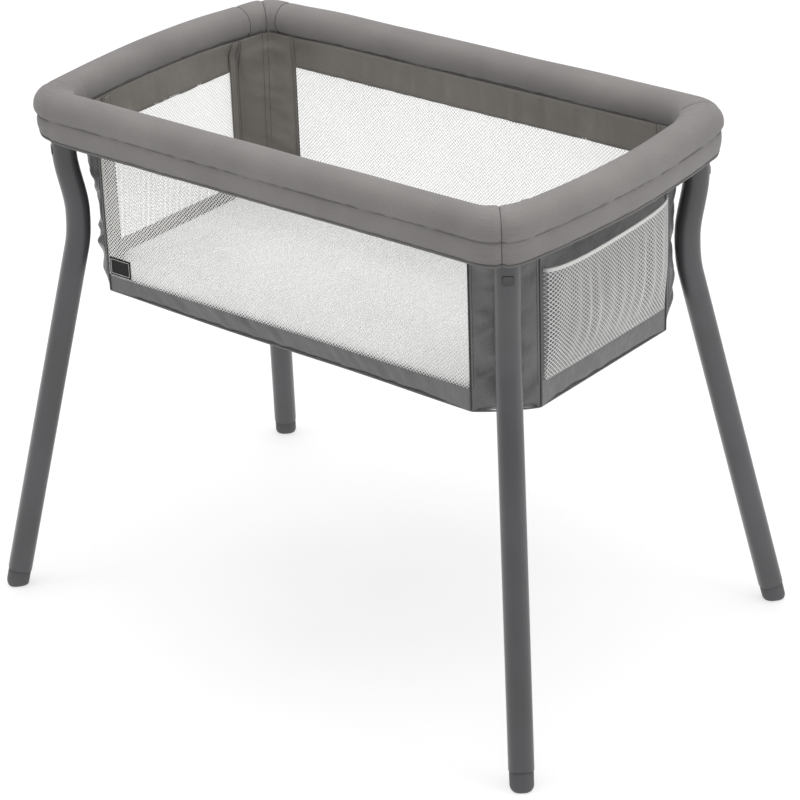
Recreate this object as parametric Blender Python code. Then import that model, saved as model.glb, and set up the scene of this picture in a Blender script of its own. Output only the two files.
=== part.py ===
"""Bassinet on a four-legged stand.

A padded oblong rail holds a hanging fabric basket. Four bent tube legs plug onto spigots under
the rail's corner brackets, and a sprung push-button in each leg locks it there. The mattress lies
on a base board in the basket and lifts out.

Frame: +X along the length, +Z up, origin on the floor at the centre of the footprint.
Metres throughout.
"""

import math

import bmesh
import bpy
from mathutils import Matrix, Vector

# ---------------------------------------------------------------- driving dimensions

# Hem line of the rail cover, which every other part of the rail is set off from
HEM_HALF_WIDTH = 0.260
HEM_END_X = 0.446
HEM_CORNER_R = 0.052
END_BOW = 0.016

# Padded roll, with a skirt sewn under its outer side, and the steel tube inside it
ROLL_Z = 0.770
ROLL_R = 0.0262
ROLL_INSET = 0.019
SKIRT_DROP = 0.046
SKIRT_SEAM_ANGLE = -26
SKIRT_BULGE = 0.0035
COVER_FABRIC = 0.003
COVER_CORNER_LEAD = 0.017
TUBE_R = 0.011
TUBE_WALL = 0.0015

# Corner brackets and the spigots that the legs slide onto
BRACKET_WALL = 0.002
SPIGOT_TO_TUBE = 0.006
PLUG_LENGTH = 0.024
SPIGOT_LENGTH = 0.050
SPIGOT_TOP_DROP = 0.003
CHANNEL_FLOOR = 0.0020

# Basket, with its corners cut off by flat panels
BASKET_END_INSET = 0.044
BASKET_SIDE_INSET = 0.041
BASKET_CHAMFER = 0.069
BASKET_DEPTH = 0.2548
CLOTH = 0.0025
TOP_BAND_HEIGHT = 0.047
BOTTOM_BAND_HEIGHT = 0.033
POCKET_END_BAND_HEIGHT = 0.038

# Bed
BOARD_THICKNESS = 0.005
MATTRESS_THICKNESS = 0.026
MATTRESS_EDGE_R = 0.012

# Pocket of net on the right-hand end
POCKET_SIDE_INSET = 0.007
POCKET_BELOW_TOP = 0.052
POCKET_BULGE = 0.023
POCKET_CLOTH = 0.0015

# Plain woven patch at the lower left of the front window
LABEL_WIDTH = 0.030
LABEL_HEIGHT = 0.026
LABEL_THICKNESS = 0.0010
LABEL_EDGE = 0.006

# Legs
LEG_HALF_WIDTH = 0.0178
LEG_WALL = 0.0018
LEG_SQUARENESS = 2.5
LEG_INSIDE_HEM = 0.0116
LEG_OFFSET_AZIMUTH = 28.3
LEG_SPLAY_AZIMUTH = 49.5
LEG_TOP_DROP = 0.028
SOCKET_DEPTH = 0.045
KNEE_DROP = 0.139
KNEE_INSET = 0.0120
STRAIGHT_DROP = 0.197
STRAIGHT_INSET = 0.0062
LEG_LEAN = 0.247

# Foot caps and their screws
FOOT_HEIGHT = 0.027
FOOT_STEP = 0.0010
FOOT_PLUG = 0.028
FOOT_ROUNDING = 0.006
SCREW_HEAD_R = 0.0034
SCREW_SHANK_R = 0.0016
SCREW_HEAD = 0.0012
SCREW_LENGTH = 0.0085
SCREW_SUNK = 0.0003

# Push-buttons
BUTTON_WIDTH = 0.0150
BUTTON_HEIGHT = 0.0130
BUTTON_CORNER_R = 0.0030
BUTTON_BELOW_TOP = 0.042
BUTTON_PROUD = 0.0004
FLANGE_OVERLAP = 0.0012
FLANGE_THICKNESS = 0.0022
FLANGE_SET_IN = 0.0024
SPRING_R = 0.0034
SPRING_WIRE = 0.0009

# Fits
GAP = 0.0003
SLIDE_CLEARANCE = 0.0004
CORE_CLEARANCE = 0.0010
BED_CLEARANCE = 0.0010
CUT_BEYOND = 0.002

# Facets
LEG_SIDES = 16
ROUND_SIDES = 12

# ---------------------------------------------------------------- derived dimensions

# Rail
CORNER_Y = HEM_HALF_WIDTH - HEM_CORNER_R
END_R = (CORNER_Y**2 + END_BOW**2) / (2 * END_BOW)
END_CENTRE_X = HEM_END_X - END_R
CORNER_X = END_CENTRE_X + math.sqrt((END_R - HEM_CORNER_R) ** 2 - CORNER_Y**2)
END_HALF_ANGLE = math.asin(CORNER_Y / (END_R - HEM_CORNER_R))
ROLL_CORNER_R = HEM_CORNER_R - ROLL_INSET
BRACKET_R = TUBE_R + BRACKET_WALL
CORE_R = BRACKET_R + CORE_CLEARANCE
PLUG_R = TUBE_R - TUBE_WALL - GAP

# Basket and bed
BASKET_TOP_Z = ROLL_Z - ROLL_R
BASKET_FLOOR_Z = BASKET_TOP_Z - BASKET_DEPTH
BASKET_HALF_LENGTH = HEM_END_X - BASKET_END_INSET
BASKET_HALF_WIDTH = HEM_HALF_WIDTH - BASKET_SIDE_INSET
SIDE_HALF_LENGTH = BASKET_HALF_LENGTH - BASKET_CHAMFER
END_HALF_WIDTH = BASKET_HALF_WIDTH - BASKET_CHAMFER
BASKET_CHAMFER_INNER = BASKET_CHAMFER - CLOTH * (2 - math.sqrt(2))
WALL_END_SHORT = CLOTH * (math.sqrt(2) - 1) + GAP
BOARD_Z = BASKET_FLOOR_Z + CLOTH + GAP
MATTRESS_Z = BOARD_Z + BOARD_THICKNESS + GAP
ROLL_OPENING_HALF_LENGTH = CORNER_X + ROLL_CORNER_R * math.cos(END_HALF_ANGLE) - ROLL_R
ROLL_OPENING_HALF_WIDTH = HEM_HALF_WIDTH - ROLL_INSET - ROLL_R

# The bed fits inside the basket, and passes the rail on its way out
BED_HALF_LENGTH = min(ROLL_OPENING_HALF_LENGTH, BASKET_HALF_LENGTH - CLOTH) - BED_CLEARANCE
BED_HALF_WIDTH = min(ROLL_OPENING_HALF_WIDTH, BASKET_HALF_WIDTH - CLOTH) - BED_CLEARANCE

# Legs
LEG_INNER = LEG_HALF_WIDTH - LEG_WALL
LEG_OFFSET = HEM_CORNER_R - LEG_INSIDE_HEM - LEG_HALF_WIDTH
LEG_TOP_X = CORNER_X + LEG_OFFSET * math.cos(math.radians(LEG_OFFSET_AZIMUTH))
LEG_TOP_Y = CORNER_Y + LEG_OFFSET * math.sin(math.radians(LEG_OFFSET_AZIMUTH))
LEG_TOP_Z = ROLL_Z - LEG_TOP_DROP
SOCKET_END_Z = LEG_TOP_Z - SOCKET_DEPTH
KNEE_Z = LEG_TOP_Z - KNEE_DROP
STRAIGHT_TOP_Z = LEG_TOP_Z - STRAIGHT_DROP
FOOT_REACH = LEG_LEAN * STRAIGHT_TOP_Z - STRAIGHT_INSET
SPIGOT_HALF_WIDTH = LEG_INNER - SLIDE_CLEARANCE

# The elbow's arms run on past the spigot, so that the rail tubes end clear of it
SPIGOT_CORNER_R = SPIGOT_HALF_WIDTH * 2 ** (0.5 - 1 / LEG_SQUARENESS)
SPIGOT_PAST_CORNER = SPIGOT_CORNER_R - LEG_OFFSET * math.sin(math.radians(LEG_OFFSET_AZIMUTH))
BRACKET_LEAD = SPIGOT_PAST_CORNER + SPIGOT_TO_TUBE

# Push-buttons, across the leg
FLANGE_FACE = LEG_INNER - FLANGE_SET_IN
FLANGE_BACK = FLANGE_FACE - FLANGE_THICKNESS
CHANNEL_HALF_WIDTH = BUTTON_WIDTH / 2 + FLANGE_OVERLAP + SLIDE_CLEARANCE

CORNERS = {"front_left": (-1, -1), "front_right": (1, -1), "back_left": (-1, 1), "back_right": (1, 1)}


# ---------------------------------------------------------------- helpers


def clear_scene():
    for obj in list(bpy.data.objects):
        bpy.data.objects.remove(obj, do_unlink=True)


def material(name, colour, roughness, metallic=0.0):
    made = bpy.data.materials.new(name)
    made.use_nodes = True
    shader = made.node_tree.nodes["Principled BSDF"]
    shader.inputs["Base Color"].default_value = (*colour, 1.0)
    shader.inputs["Roughness"].default_value = roughness
    shader.inputs["Metallic"].default_value = metallic
    return made


def add_object(name, mesh, colour, smooth=True):
    """An object in the scene with its own material, shaded smooth except at its real edges."""
    mesh.materials.clear()
    mesh.materials.append(colour)
    if smooth:
        mesh.shade_smooth()
        mesh.set_sharp_from_angle(angle=math.radians(35))
    obj = bpy.data.objects.new(name, mesh)
    bpy.context.scene.collection.objects.link(obj)
    return obj


def mesh_of(bm, name):
    bmesh.ops.recalc_face_normals(bm, faces=bm.faces)
    mesh = bpy.data.meshes.new(name)
    bm.to_mesh(mesh)
    bm.free()
    return mesh


def loft(rings, closed=True):
    """A bmesh through rings of equal point count. Closed caps both ends with one face each."""
    bm = bmesh.new()
    loops = [[bm.verts.new(p) for p in ring] for ring in rings]
    count = len(loops[0])
    for low, high in zip(loops, loops[1:]):
        for i in range(count):
            j = (i + 1) % count
            bm.faces.new((low[i], low[j], high[j], high[i]))
    if closed:
        bm.faces.new(list(reversed(loops[0])))
        bm.faces.new(loops[-1])
    return bm


def tube_loft(outer, inner):
    """A pipe, open at both ends, between two lists of rings of equal point count."""
    bm = loft(outer, closed=False)
    shell = loft(inner, closed=False)
    spare = bpy.data.meshes.new("spare")
    shell.to_mesh(spare)
    shell.free()
    bm.from_mesh(spare)
    bpy.data.meshes.remove(spare)
    count = len(outer[0])
    bm.verts.ensure_lookup_table()
    first_inner = len(outer) * count
    for ring in (0, len(outer) - 1):
        for i in range(count):
            j = (i + 1) % count
            a = bm.verts[ring * count + i]
            b = bm.verts[ring * count + j]
            c = bm.verts[first_inner + ring * count + j]
            d = bm.verts[first_inner + ring * count + i]
            bm.faces.new((a, b, c, d))
    return bm


def mirrored(bm, sx, sy):
    """The (+X, +Y) quadrant's shape moved to another quadrant, with its faces turned back out."""
    bmesh.ops.scale(bm, vec=(sx, sy, 1), verts=bm.verts)
    if sx * sy < 0:
        bmesh.ops.reverse_faces(bm, faces=bm.faces)
    return bm


def box_mesh(name, low, high):
    bm = bmesh.new()
    bmesh.ops.create_cube(bm, size=1.0)
    size = Vector(high) - Vector(low)
    middle = (Vector(high) + Vector(low)) / 2
    bmesh.ops.scale(bm, vec=size, verts=bm.verts)
    bmesh.ops.translate(bm, vec=middle, verts=bm.verts)
    return mesh_of(bm, name)


def prism_mesh(name, outline, z_low, z_high):
    """An upright prism on a plan outline."""
    rings = [[(x, y, z) for x, y in outline] for z in (z_low, z_high)]
    return mesh_of(loft(rings), name)


def superellipse(half_a, half_b, power, count):
    """Points round a soft-cornered section, from +a towards +b."""
    points = []
    for i in range(count):
        t = 2 * math.pi * i / count
        c, s = math.cos(t), math.sin(t)
        a = half_a * math.copysign(abs(c) ** (2 / power), c)
        b = half_b * math.copysign(abs(s) ** (2 / power), s)
        points.append((a, b))
    return points


def rounded_rectangle(half_w, half_h, radius, steps=4):
    points = []
    for k, (sx, sy) in enumerate(((1, 1), (-1, 1), (-1, -1), (1, -1))):
        for i in range(steps + 1):
            t = math.pi / 2 * (k + i / steps)
            x = sx * (half_w - radius) + radius * math.cos(t)
            y = sy * (half_h - radius) + radius * math.sin(t)
            points.append((x, y))
    return points


def boolean(obj, cutter, operation):
    step = obj.modifiers.new(operation.lower(), "BOOLEAN")
    step.object = cutter
    step.operation = operation
    step.solver = "EXACT"
    cutter.hide_render = True
    cutter.hide_viewport = True
    cutter.display_type = "WIRE"


# ---------------------------------------------------------------- the rail's plan


def side_stations(half_length, count=2):
    """Points and outward normals along the front half of the roll's centre line, at -Y."""
    y = -(HEM_HALF_WIDTH - ROLL_INSET)
    steps = [half_length * (2 * i / (count - 1) - 1) for i in range(count)]
    return [(Vector((x, y)), Vector((0, -1))) for x in steps]


def end_station(angle):
    """One point and outward normal on the bowed right-hand end, at an angle of its arc."""
    normal = Vector((math.cos(angle), math.sin(angle)))
    return Vector((END_CENTRE_X, 0)) + normal * (END_R - ROLL_INSET), normal


def end_stations(half_angle, count=11):
    """The same along the whole bowed end."""
    return [end_station(half_angle * (2 * i / (count - 1) - 1)) for i in range(count)]


def corner_stations(lead, count=5):
    """The same round the back right-hand corner, from the end rail to the back rail.

    The lead is how far the run goes on past the corner, along the bowed end and the straight side.
    """
    made = [end_station(END_HALF_ANGLE - lead / (END_R - ROLL_INSET))]
    for i in range(count):
        t = END_HALF_ANGLE + (math.pi / 2 - END_HALF_ANGLE) * i / (count - 1)
        normal = Vector((math.cos(t), math.sin(t)))
        made.append((Vector((CORNER_X, CORNER_Y)) + normal * ROLL_CORNER_R, normal))
    point, normal = made[-1]
    made.append((point - Vector((lead, 0)), normal))
    return made


def swept_rings(stations, profile):
    """Rings of a profile of (outward, upward) points carried along plan stations."""
    rings = []
    for point, normal in stations:
        ring = []
        for out, up in profile:
            plan = point + normal * out
            ring.append((plan.x, plan.y, ROLL_Z + up))
        rings.append(ring)
    return rings


def circle_profile(radius, count=ROUND_SIDES):
    return [
        (radius * math.cos(2 * math.pi * i / count), radius * math.sin(2 * math.pi * i / count))
        for i in range(count)
    ]


def arc_profile(radius, start, stop, count):
    made = []
    for i in range(count):
        t = math.radians(start + (stop - start) * i / (count - 1))
        made.append((radius * math.cos(t), radius * math.sin(t)))
    return made


# ---------------------------------------------------------------- rail


def add_rail_tubes(steel):
    """Four steel tubes. Their ends slip over the plugs of the corner brackets."""
    half_length = CORNER_X - BRACKET_LEAD - GAP
    half_angle = END_HALF_ANGLE - (BRACKET_LEAD + GAP) / (END_R - ROLL_INSET)
    runs = {"front": side_stations(half_length), "right": end_stations(half_angle)}
    for name, other, mirror in (("front", "back", (1, -1)), ("right", "left", (-1, 1))):
        for label, (sx, sy) in ((name, (1, 1)), (other, mirror)):
            outer = swept_rings(runs[name], circle_profile(TUBE_R))
            inner = swept_rings(runs[name], circle_profile(TUBE_R - TUBE_WALL))
            bm = mirrored(tube_loft(outer, inner), sx, sy)
            add_object(f"rail_{label}", mesh_of(bm, f"rail_{label}"), steel)


def leg_frame(sx, sy):
    """A leg's own frame: origin on its top axis, +X in plan the way it splays, +Z up."""
    splay = math.radians(LEG_SPLAY_AZIMUTH)
    azimuth = math.atan2(sy * math.sin(splay), sx * math.cos(splay))
    place = Matrix.Translation((sx * LEG_TOP_X, sy * LEG_TOP_Y, LEG_TOP_Z))
    return place @ Matrix.Rotation(azimuth, 4, "Z")


def add_corner_brackets(plastic):
    """Elbows that join two rail tubes and carry the spigot that a leg slides onto."""
    for corner, (sx, sy) in CORNERS.items():
        name = f"corner_bracket_{corner}"
        elbow = loft(swept_rings(corner_stations(BRACKET_LEAD), circle_profile(BRACKET_R)))
        bracket = add_object(name, mesh_of(mirrored(elbow, sx, sy), name), plastic)

        plug_run = corner_stations(BRACKET_LEAD + PLUG_LENGTH)
        plug = loft(swept_rings(plug_run, circle_profile(PLUG_R)))
        plug_mesh = mesh_of(mirrored(plug, sx, sy), f"{name}_plugs")
        boolean(bracket, add_object(f"{name}_plugs", plug_mesh, plastic), "UNION")

        frame = leg_frame(sx, sy)
        section = superellipse(SPIGOT_HALF_WIDTH, SPIGOT_HALF_WIDTH, LEG_SQUARENESS, LEG_SIDES)
        levels = (-SPIGOT_LENGTH, ROLL_Z - SPIGOT_TOP_DROP - LEG_TOP_Z)
        rings = [[frame @ Vector((x, y, z)) for x, y in section] for z in levels]
        spigot = add_object(f"{name}_spigot", mesh_of(loft(rings), f"{name}_spigot"), plastic)
        boolean(bracket, spigot, "UNION")

        low = (CHANNEL_FLOOR, -CHANNEL_HALF_WIDTH, -SPIGOT_LENGTH - CUT_BEYOND)
        high = (2 * SPIGOT_HALF_WIDTH, CHANNEL_HALF_WIDTH, -GAP)
        channel = box_mesh(f"{name}_channel", low, high)
        channel.transform(frame)
        cutter = add_object(f"{name}_channel", channel, plastic, smooth=False)
        boolean(bracket, cutter, "DIFFERENCE")


def cover_profile(slot_start):
    """The padded cover's section: a thick C round the tube, open underneath, and its skirt.

    The slot that lets the basket and the spigot in starts at an angle on the section's inner side
    and ends where the skirt leaves the core.
    """
    slot_end = -52
    hem_up = -SKIRT_DROP
    outer = arc_profile(ROLL_R, SKIRT_SEAM_ANGLE, slot_start, 13)
    inner = arc_profile(CORE_R, slot_start, slot_end, 11)
    skirt = [
        (ROLL_INSET - GAP, 0.45 * hem_up),
        (ROLL_INSET - COVER_FABRIC, 0.75 * hem_up),
        (ROLL_INSET - COVER_FABRIC, hem_up),
        (ROLL_INSET, hem_up),
        (ROLL_INSET + SKIRT_BULGE, 0.72 * hem_up),
    ]
    return outer + inner + skirt


def add_rail_cover(fabric):
    """The foam-padded fabric over the rail, in its straight, bowed and corner lengths."""
    side = cover_profile(250)
    corner = cover_profile(178)
    half_length = CORNER_X - COVER_CORNER_LEAD - GAP
    half_angle = END_HALF_ANGLE - (COVER_CORNER_LEAD + 2 * GAP) / (END_R - ROLL_INSET)
    runs = {
        "front": (side_stations(half_length), side, (1, 1)),
        "back": (side_stations(half_length), side, (1, -1)),
        "right": (end_stations(half_angle), side, (1, 1)),
        "left": (end_stations(half_angle), side, (-1, 1)),
    }
    for corner_name, signs in CORNERS.items():
        runs[f"corner_{corner_name}"] = (corner_stations(COVER_CORNER_LEAD), corner, signs)
    for name, (stations, profile, signs) in runs.items():
        bm = mirrored(loft(swept_rings(stations, profile)), *signs)
        add_object(f"rail_cover_{name}", mesh_of(bm, f"rail_cover_{name}"), fabric)


# ---------------------------------------------------------------- basket


def octagon(half_length, half_width, chamfer):
    """The basket's plan: an oblong with its corners cut off."""
    a, b = half_length, half_width
    quarter = ((a, b - chamfer), (a - chamfer, b))
    made = list(quarter)
    made += [(-x, y) for x, y in reversed(quarter)]
    made += [(-x, -y) for x, y in quarter]
    made += [(x, -y) for x, y in reversed(quarter)]
    return made


def add_wall(name, side, z_low, z_high, cloth):
    """One flat strip of a wall. The gap at each end keeps it off the corner panels."""
    if side in ("front", "back"):
        sign = -1 if side == "front" else 1
        half = SIDE_HALF_LENGTH - WALL_END_SHORT
        low = (-half, sign * BASKET_HALF_WIDTH, z_low)
        high = (half, sign * (BASKET_HALF_WIDTH - CLOTH), z_high)
    else:
        sign = -1 if side == "left" else 1
        half = END_HALF_WIDTH - WALL_END_SHORT
        low = (sign * BASKET_HALF_LENGTH, -half, z_low)
        high = (sign * (BASKET_HALF_LENGTH - CLOTH), half, z_high)
    lows = [min(a, b) for a, b in zip(low, high)]
    highs = [max(a, b) for a, b in zip(low, high)]
    add_object(name, box_mesh(name, lows, highs), cloth, smooth=False)


def add_basket_walls(fabric, net):
    """Each wall is a fabric band, a window and a lower band, sewn edge to edge."""
    window_top = BASKET_TOP_Z - TOP_BAND_HEIGHT
    for side in ("front", "back", "left", "right"):
        lower = POCKET_END_BAND_HEIGHT if side == "right" else BOTTOM_BAND_HEIGHT
        band_top = BASKET_FLOOR_Z + lower
        window = "end_panel_right" if side == "right" else f"mesh_{side}"
        cloth = fabric if side == "right" else net
        add_wall(f"top_band_{side}", side, window_top + GAP, BASKET_TOP_Z, fabric)
        add_wall(window, side, band_top + GAP, window_top, cloth)
        add_wall(f"bottom_band_{side}", side, BASKET_FLOOR_Z, band_top, fabric)


def add_corner_panels(fabric):
    """Flat panels across the basket's four cut-off corners, inside the legs."""
    inner = octagon(BASKET_HALF_LENGTH - CLOTH, BASKET_HALF_WIDTH - CLOTH, BASKET_CHAMFER_INNER)
    outer = octagon(BASKET_HALF_LENGTH, BASKET_HALF_WIDTH, BASKET_CHAMFER)
    outline = [outer[0], outer[1], inner[1], inner[0]]
    for corner, (sx, sy) in CORNERS.items():
        rings = [[(x, y, z) for x, y in outline] for z in (BASKET_FLOOR_Z, BASKET_TOP_Z)]
        mesh = mesh_of(mirrored(loft(rings), sx, sy), f"corner_panel_{corner}")
        add_object(f"corner_panel_{corner}", mesh, fabric, smooth=False)


def add_floor_and_bed(fabric, board, ticking):
    """The basket's fabric floor, the stiff board on it, and the mattress."""
    inset = CLOTH + GAP
    floor = octagon(BASKET_HALF_LENGTH - inset, BASKET_HALF_WIDTH - inset, BASKET_CHAMFER)
    floor_mesh = prism_mesh("basket_floor", floor, BASKET_FLOOR_Z, BASKET_FLOOR_Z + CLOTH)
    add_object("basket_floor", floor_mesh, fabric, smooth=False)

    plan = octagon(BED_HALF_LENGTH, BED_HALF_WIDTH, BASKET_CHAMFER)
    board_mesh = prism_mesh("base_board", plan, BOARD_Z, BOARD_Z + BOARD_THICKNESS)
    add_object("base_board", board_mesh, board, smooth=False)

    mattress_mesh = prism_mesh("mattress", plan, MATTRESS_Z, MATTRESS_Z + MATTRESS_THICKNESS)
    mattress = add_object("mattress", mattress_mesh, ticking)
    rounding = mattress.modifiers.new("soft edge", "BEVEL")
    rounding.width = MATTRESS_EDGE_R
    rounding.segments = 3
    rounding.limit_method = "ANGLE"


def add_pocket(net):
    """A net pocket on the right-hand end: a sheet that bellies out and joins the wall on three sides."""
    columns, rows = 12, 6
    half_width = END_HALF_WIDTH - POCKET_SIDE_INSET
    wall_x = BASKET_HALF_LENGTH + GAP
    z_low = BASKET_FLOOR_Z + POCKET_END_BAND_HEIGHT
    z_high = BASKET_TOP_Z - POCKET_BELOW_TOP
    outer, inner = [], []
    for r in range(rows + 1):
        rise = r / rows
        z = z_low + (z_high - z_low) * rise
        fullness = math.sin(math.pi / 2 * min(1, rise / 0.55))
        outer_row, inner_row = [], []
        for c in range(columns + 1):
            share = 2 * c / columns - 1
            belly = POCKET_BULGE * fullness * math.sqrt(max(0, 1 - abs(share) ** 4))
            y = share * half_width
            outer_row.append((wall_x + POCKET_CLOTH + belly, y, z))
            inner_row.append((wall_x + belly, y, z))
        outer.append(outer_row)
        inner.append(inner_row)
    rings = []
    for outer_row, inner_row in zip(outer, inner):
        rings.append(outer_row + list(reversed(inner_row)))
    add_object("pocket_net", mesh_of(loft(rings), "pocket_net"), net)


def add_label(black):
    """A plain woven patch over the seam at the lower left of the front window."""
    x = -SIDE_HALF_LENGTH + LABEL_EDGE
    y = -BASKET_HALF_WIDTH - GAP
    z = BASKET_FLOOR_Z + BOTTOM_BAND_HEIGHT - LABEL_HEIGHT / 2
    high = (x + LABEL_WIDTH, y, z + LABEL_HEIGHT)
    add_object("label", box_mesh("label", (x, y - LABEL_THICKNESS, z), high), black, smooth=False)


# ---------------------------------------------------------------- legs


def smooth_bend(low, high, count):
    """Stations after the low one up to the high one, leaving and arriving at their own slopes."""
    r0, z0, m0 = low
    r1, z1, m1 = high
    span = z1 - z0
    made = []
    for i in range(1, count + 1):
        t = i / count
        reach = (2 * t**3 - 3 * t**2 + 1) * r0 + (t**3 - 2 * t**2 + t) * span * m0
        reach += (3 * t**2 - 2 * t**3) * r1 + (t**3 - t**2) * span * m1
        slope = (6 * t**2 - 6 * t) * (r0 - r1) / span + (3 * t**2 - 4 * t + 1) * m0
        slope += (3 * t**2 - 2 * t) * m1
        made.append((reach, z0 + span * t, slope))
    return made


def leg_centre_line():
    """Stations (reach, height, slope) from the foot cap up, in world height.

    Straight from the foot to the knee, then two smooth bends that end upright in the socket.
    """
    low = (FOOT_REACH - LEG_LEAN * FOOT_HEIGHT, FOOT_HEIGHT, -LEG_LEAN)
    straight_top = (FOOT_REACH - LEG_LEAN * STRAIGHT_TOP_Z, STRAIGHT_TOP_Z, -LEG_LEAN)
    knee = (-KNEE_INSET, KNEE_Z, 0)
    socket_end = (0, SOCKET_END_Z, 0)
    line = [low, straight_top]
    line += smooth_bend(straight_top, knee, 4)
    line += smooth_bend(knee, socket_end, 5)
    line += [(0, LEG_TOP_Z, 0)]
    return line


def leg_section(half_width, reach, height, slope):
    """One ring square to a leg whose centre line has that slope, in the leg's own frame."""
    centre = Vector((reach, 0, height - LEG_TOP_Z))
    across = Vector((1, 0, -slope)).normalized()
    points = superellipse(half_width, half_width, LEG_SQUARENESS, LEG_SIDES)
    return [centre + across * a + Vector((0, 1, 0)) * b for a, b in points]


def cylinder_along(name, start, direction, radius, length):
    """A round bar from a point along a direction, in the leg's own frame."""
    bm = bmesh.new()
    bmesh.ops.create_cone(
        bm, segments=ROUND_SIDES, radius1=radius, radius2=radius, depth=length, cap_ends=True
    )
    turn = Vector((0, 0, 1)).rotation_difference(direction).to_matrix().to_4x4()
    middle = start + direction.normalized() * (length / 2)
    bm.transform(Matrix.Translation(middle) @ turn)
    return mesh_of(bm, name)


def plate_mesh(name, half_w, half_h, radius, x_low, x_high):
    """A round-cornered block lying across the leg's X at the button's height."""
    outline = rounded_rectangle(half_w, half_h, radius)
    rings = [[(x, y, z - BUTTON_BELOW_TOP) for y, z in outline] for x in (x_low, x_high)]
    return mesh_of(loft(rings), name)


def screw_place():
    """Where the foot screw enters the leg's inner face, and the way it points out of it."""
    height = FOOT_HEIGHT + FOOT_PLUG / 2
    outward = Vector((-1, 0, -LEG_LEAN)).normalized()
    centre = Vector((FOOT_REACH - LEG_LEAN * height, 0, height - LEG_TOP_Z))
    return centre + outward * LEG_HALF_WIDTH, outward


def foot_mesh(name):
    """A cap that plugs into the leg and stands flat on the floor."""
    plug = LEG_INNER - GAP
    cap = LEG_HALF_WIDTH - FOOT_STEP
    shoulder = FOOT_HEIGHT - GAP
    # Each ring's half width, height and share of the leg's lean
    profile = (
        (plug, FOOT_HEIGHT + FOOT_PLUG, 1),
        (plug, shoulder, 1),
        (cap, shoulder, 1),
        (cap, 2 * FOOT_ROUNDING, 1),
        (cap - 0.12 * FOOT_ROUNDING, 1.1 * FOOT_ROUNDING, 0.6),
        (cap - 0.42 * FOOT_ROUNDING, 0.4 * FOOT_ROUNDING, 0.25),
        (cap - FOOT_ROUNDING, 0, 0),
    )
    rings = []
    for half_width, height, share in profile:
        reach = FOOT_REACH - LEG_LEAN * height
        rings.append(leg_section(half_width, reach, height, -LEG_LEAN * share))
    return mesh_of(loft(rings), name)


def add_leg_tube(corner, paint):
    """The bent tube, with a window for the button and a hole for the foot screw's head."""
    line = leg_centre_line()
    outer = [leg_section(LEG_HALF_WIDTH, *station) for station in line]
    inner = [leg_section(LEG_INNER, *station) for station in line]
    leg = add_object(f"leg_{corner}", mesh_of(tube_loft(outer, inner), f"leg_{corner}"), paint)

    name = f"button_window_{corner}"
    half_w = BUTTON_WIDTH / 2 + GAP
    half_h = BUTTON_HEIGHT / 2 + GAP
    radius = BUTTON_CORNER_R + GAP
    cut = plate_mesh(name, half_w, half_h, radius, CHANNEL_FLOOR, LEG_HALF_WIDTH + CUT_BEYOND)
    window = add_object(name, cut, paint)
    boolean(leg, window, "DIFFERENCE")

    name = f"screw_hole_{corner}"
    face, outward = screw_place()
    start = face + outward * CUT_BEYOND
    length = LEG_WALL + 2 * CUT_BEYOND
    cut = cylinder_along(name, start, -outward, SCREW_HEAD_R + GAP, length)
    hole = add_object(name, cut, paint)
    boolean(leg, hole, "DIFFERENCE")
    return leg, window, hole


def add_foot(corner, rubber):
    foot = add_object(f"foot_{corner}", foot_mesh(f"foot_{corner}"), rubber)
    name = f"screw_bore_{corner}"
    face, outward = screw_place()
    start = face + outward * CUT_BEYOND
    length = SCREW_LENGTH + 2 * CUT_BEYOND
    cut = cylinder_along(name, start, -outward, SCREW_SHANK_R + GAP, length)
    bore = add_object(name, cut, rubber)
    boolean(foot, bore, "DIFFERENCE")
    return foot, bore


def add_foot_screw(corner, steel):
    face, outward = screw_place()
    start = face - outward * SCREW_SUNK
    name = f"foot_screw_{corner}"
    head = cylinder_along(name, start, -outward, SCREW_HEAD_R, SCREW_HEAD)
    screw = add_object(name, head, steel)
    name = f"screw_shank_{corner}"
    shank = cylinder_along(name, start, -outward, SCREW_SHANK_R, SCREW_LENGTH)
    shank = add_object(name, shank, steel)
    boolean(screw, shank, "UNION")
    return screw, shank


def add_button(corner, plastic):
    """The push-button, with a flange behind the leg's wall that keeps it in."""
    half_w = BUTTON_WIDTH / 2
    half_h = BUTTON_HEIGHT / 2
    name = f"leg_button_{corner}"
    root = (FLANGE_FACE + FLANGE_BACK) / 2
    face = LEG_HALF_WIDTH + BUTTON_PROUD
    cap = plate_mesh(name, half_w, half_h, BUTTON_CORNER_R, root, face)
    button = add_object(name, cap, plastic)
    name = f"button_flange_{corner}"
    wide = half_w + FLANGE_OVERLAP
    high = half_h + FLANGE_OVERLAP
    plate = plate_mesh(name, wide, high, BUTTON_CORNER_R, FLANGE_BACK, FLANGE_FACE)
    flange = add_object(name, plate, plastic)
    boolean(button, flange, "UNION")
    return button, flange


def add_button_spring(corner, steel):
    """The sleeve that the button's coil spring fills, from the channel's floor to the flange."""
    walls = []
    for radius in (SPRING_R, SPRING_R - SPRING_WIRE):
        rings = []
        for x in (CHANNEL_FLOOR + GAP, FLANGE_BACK - GAP):
            rings.append([(x, y, z - BUTTON_BELOW_TOP) for y, z in circle_profile(radius)])
        walls.append(rings)
    name = f"button_spring_{corner}"
    return (add_object(name, mesh_of(tube_loft(*walls), name), steel),)


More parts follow.
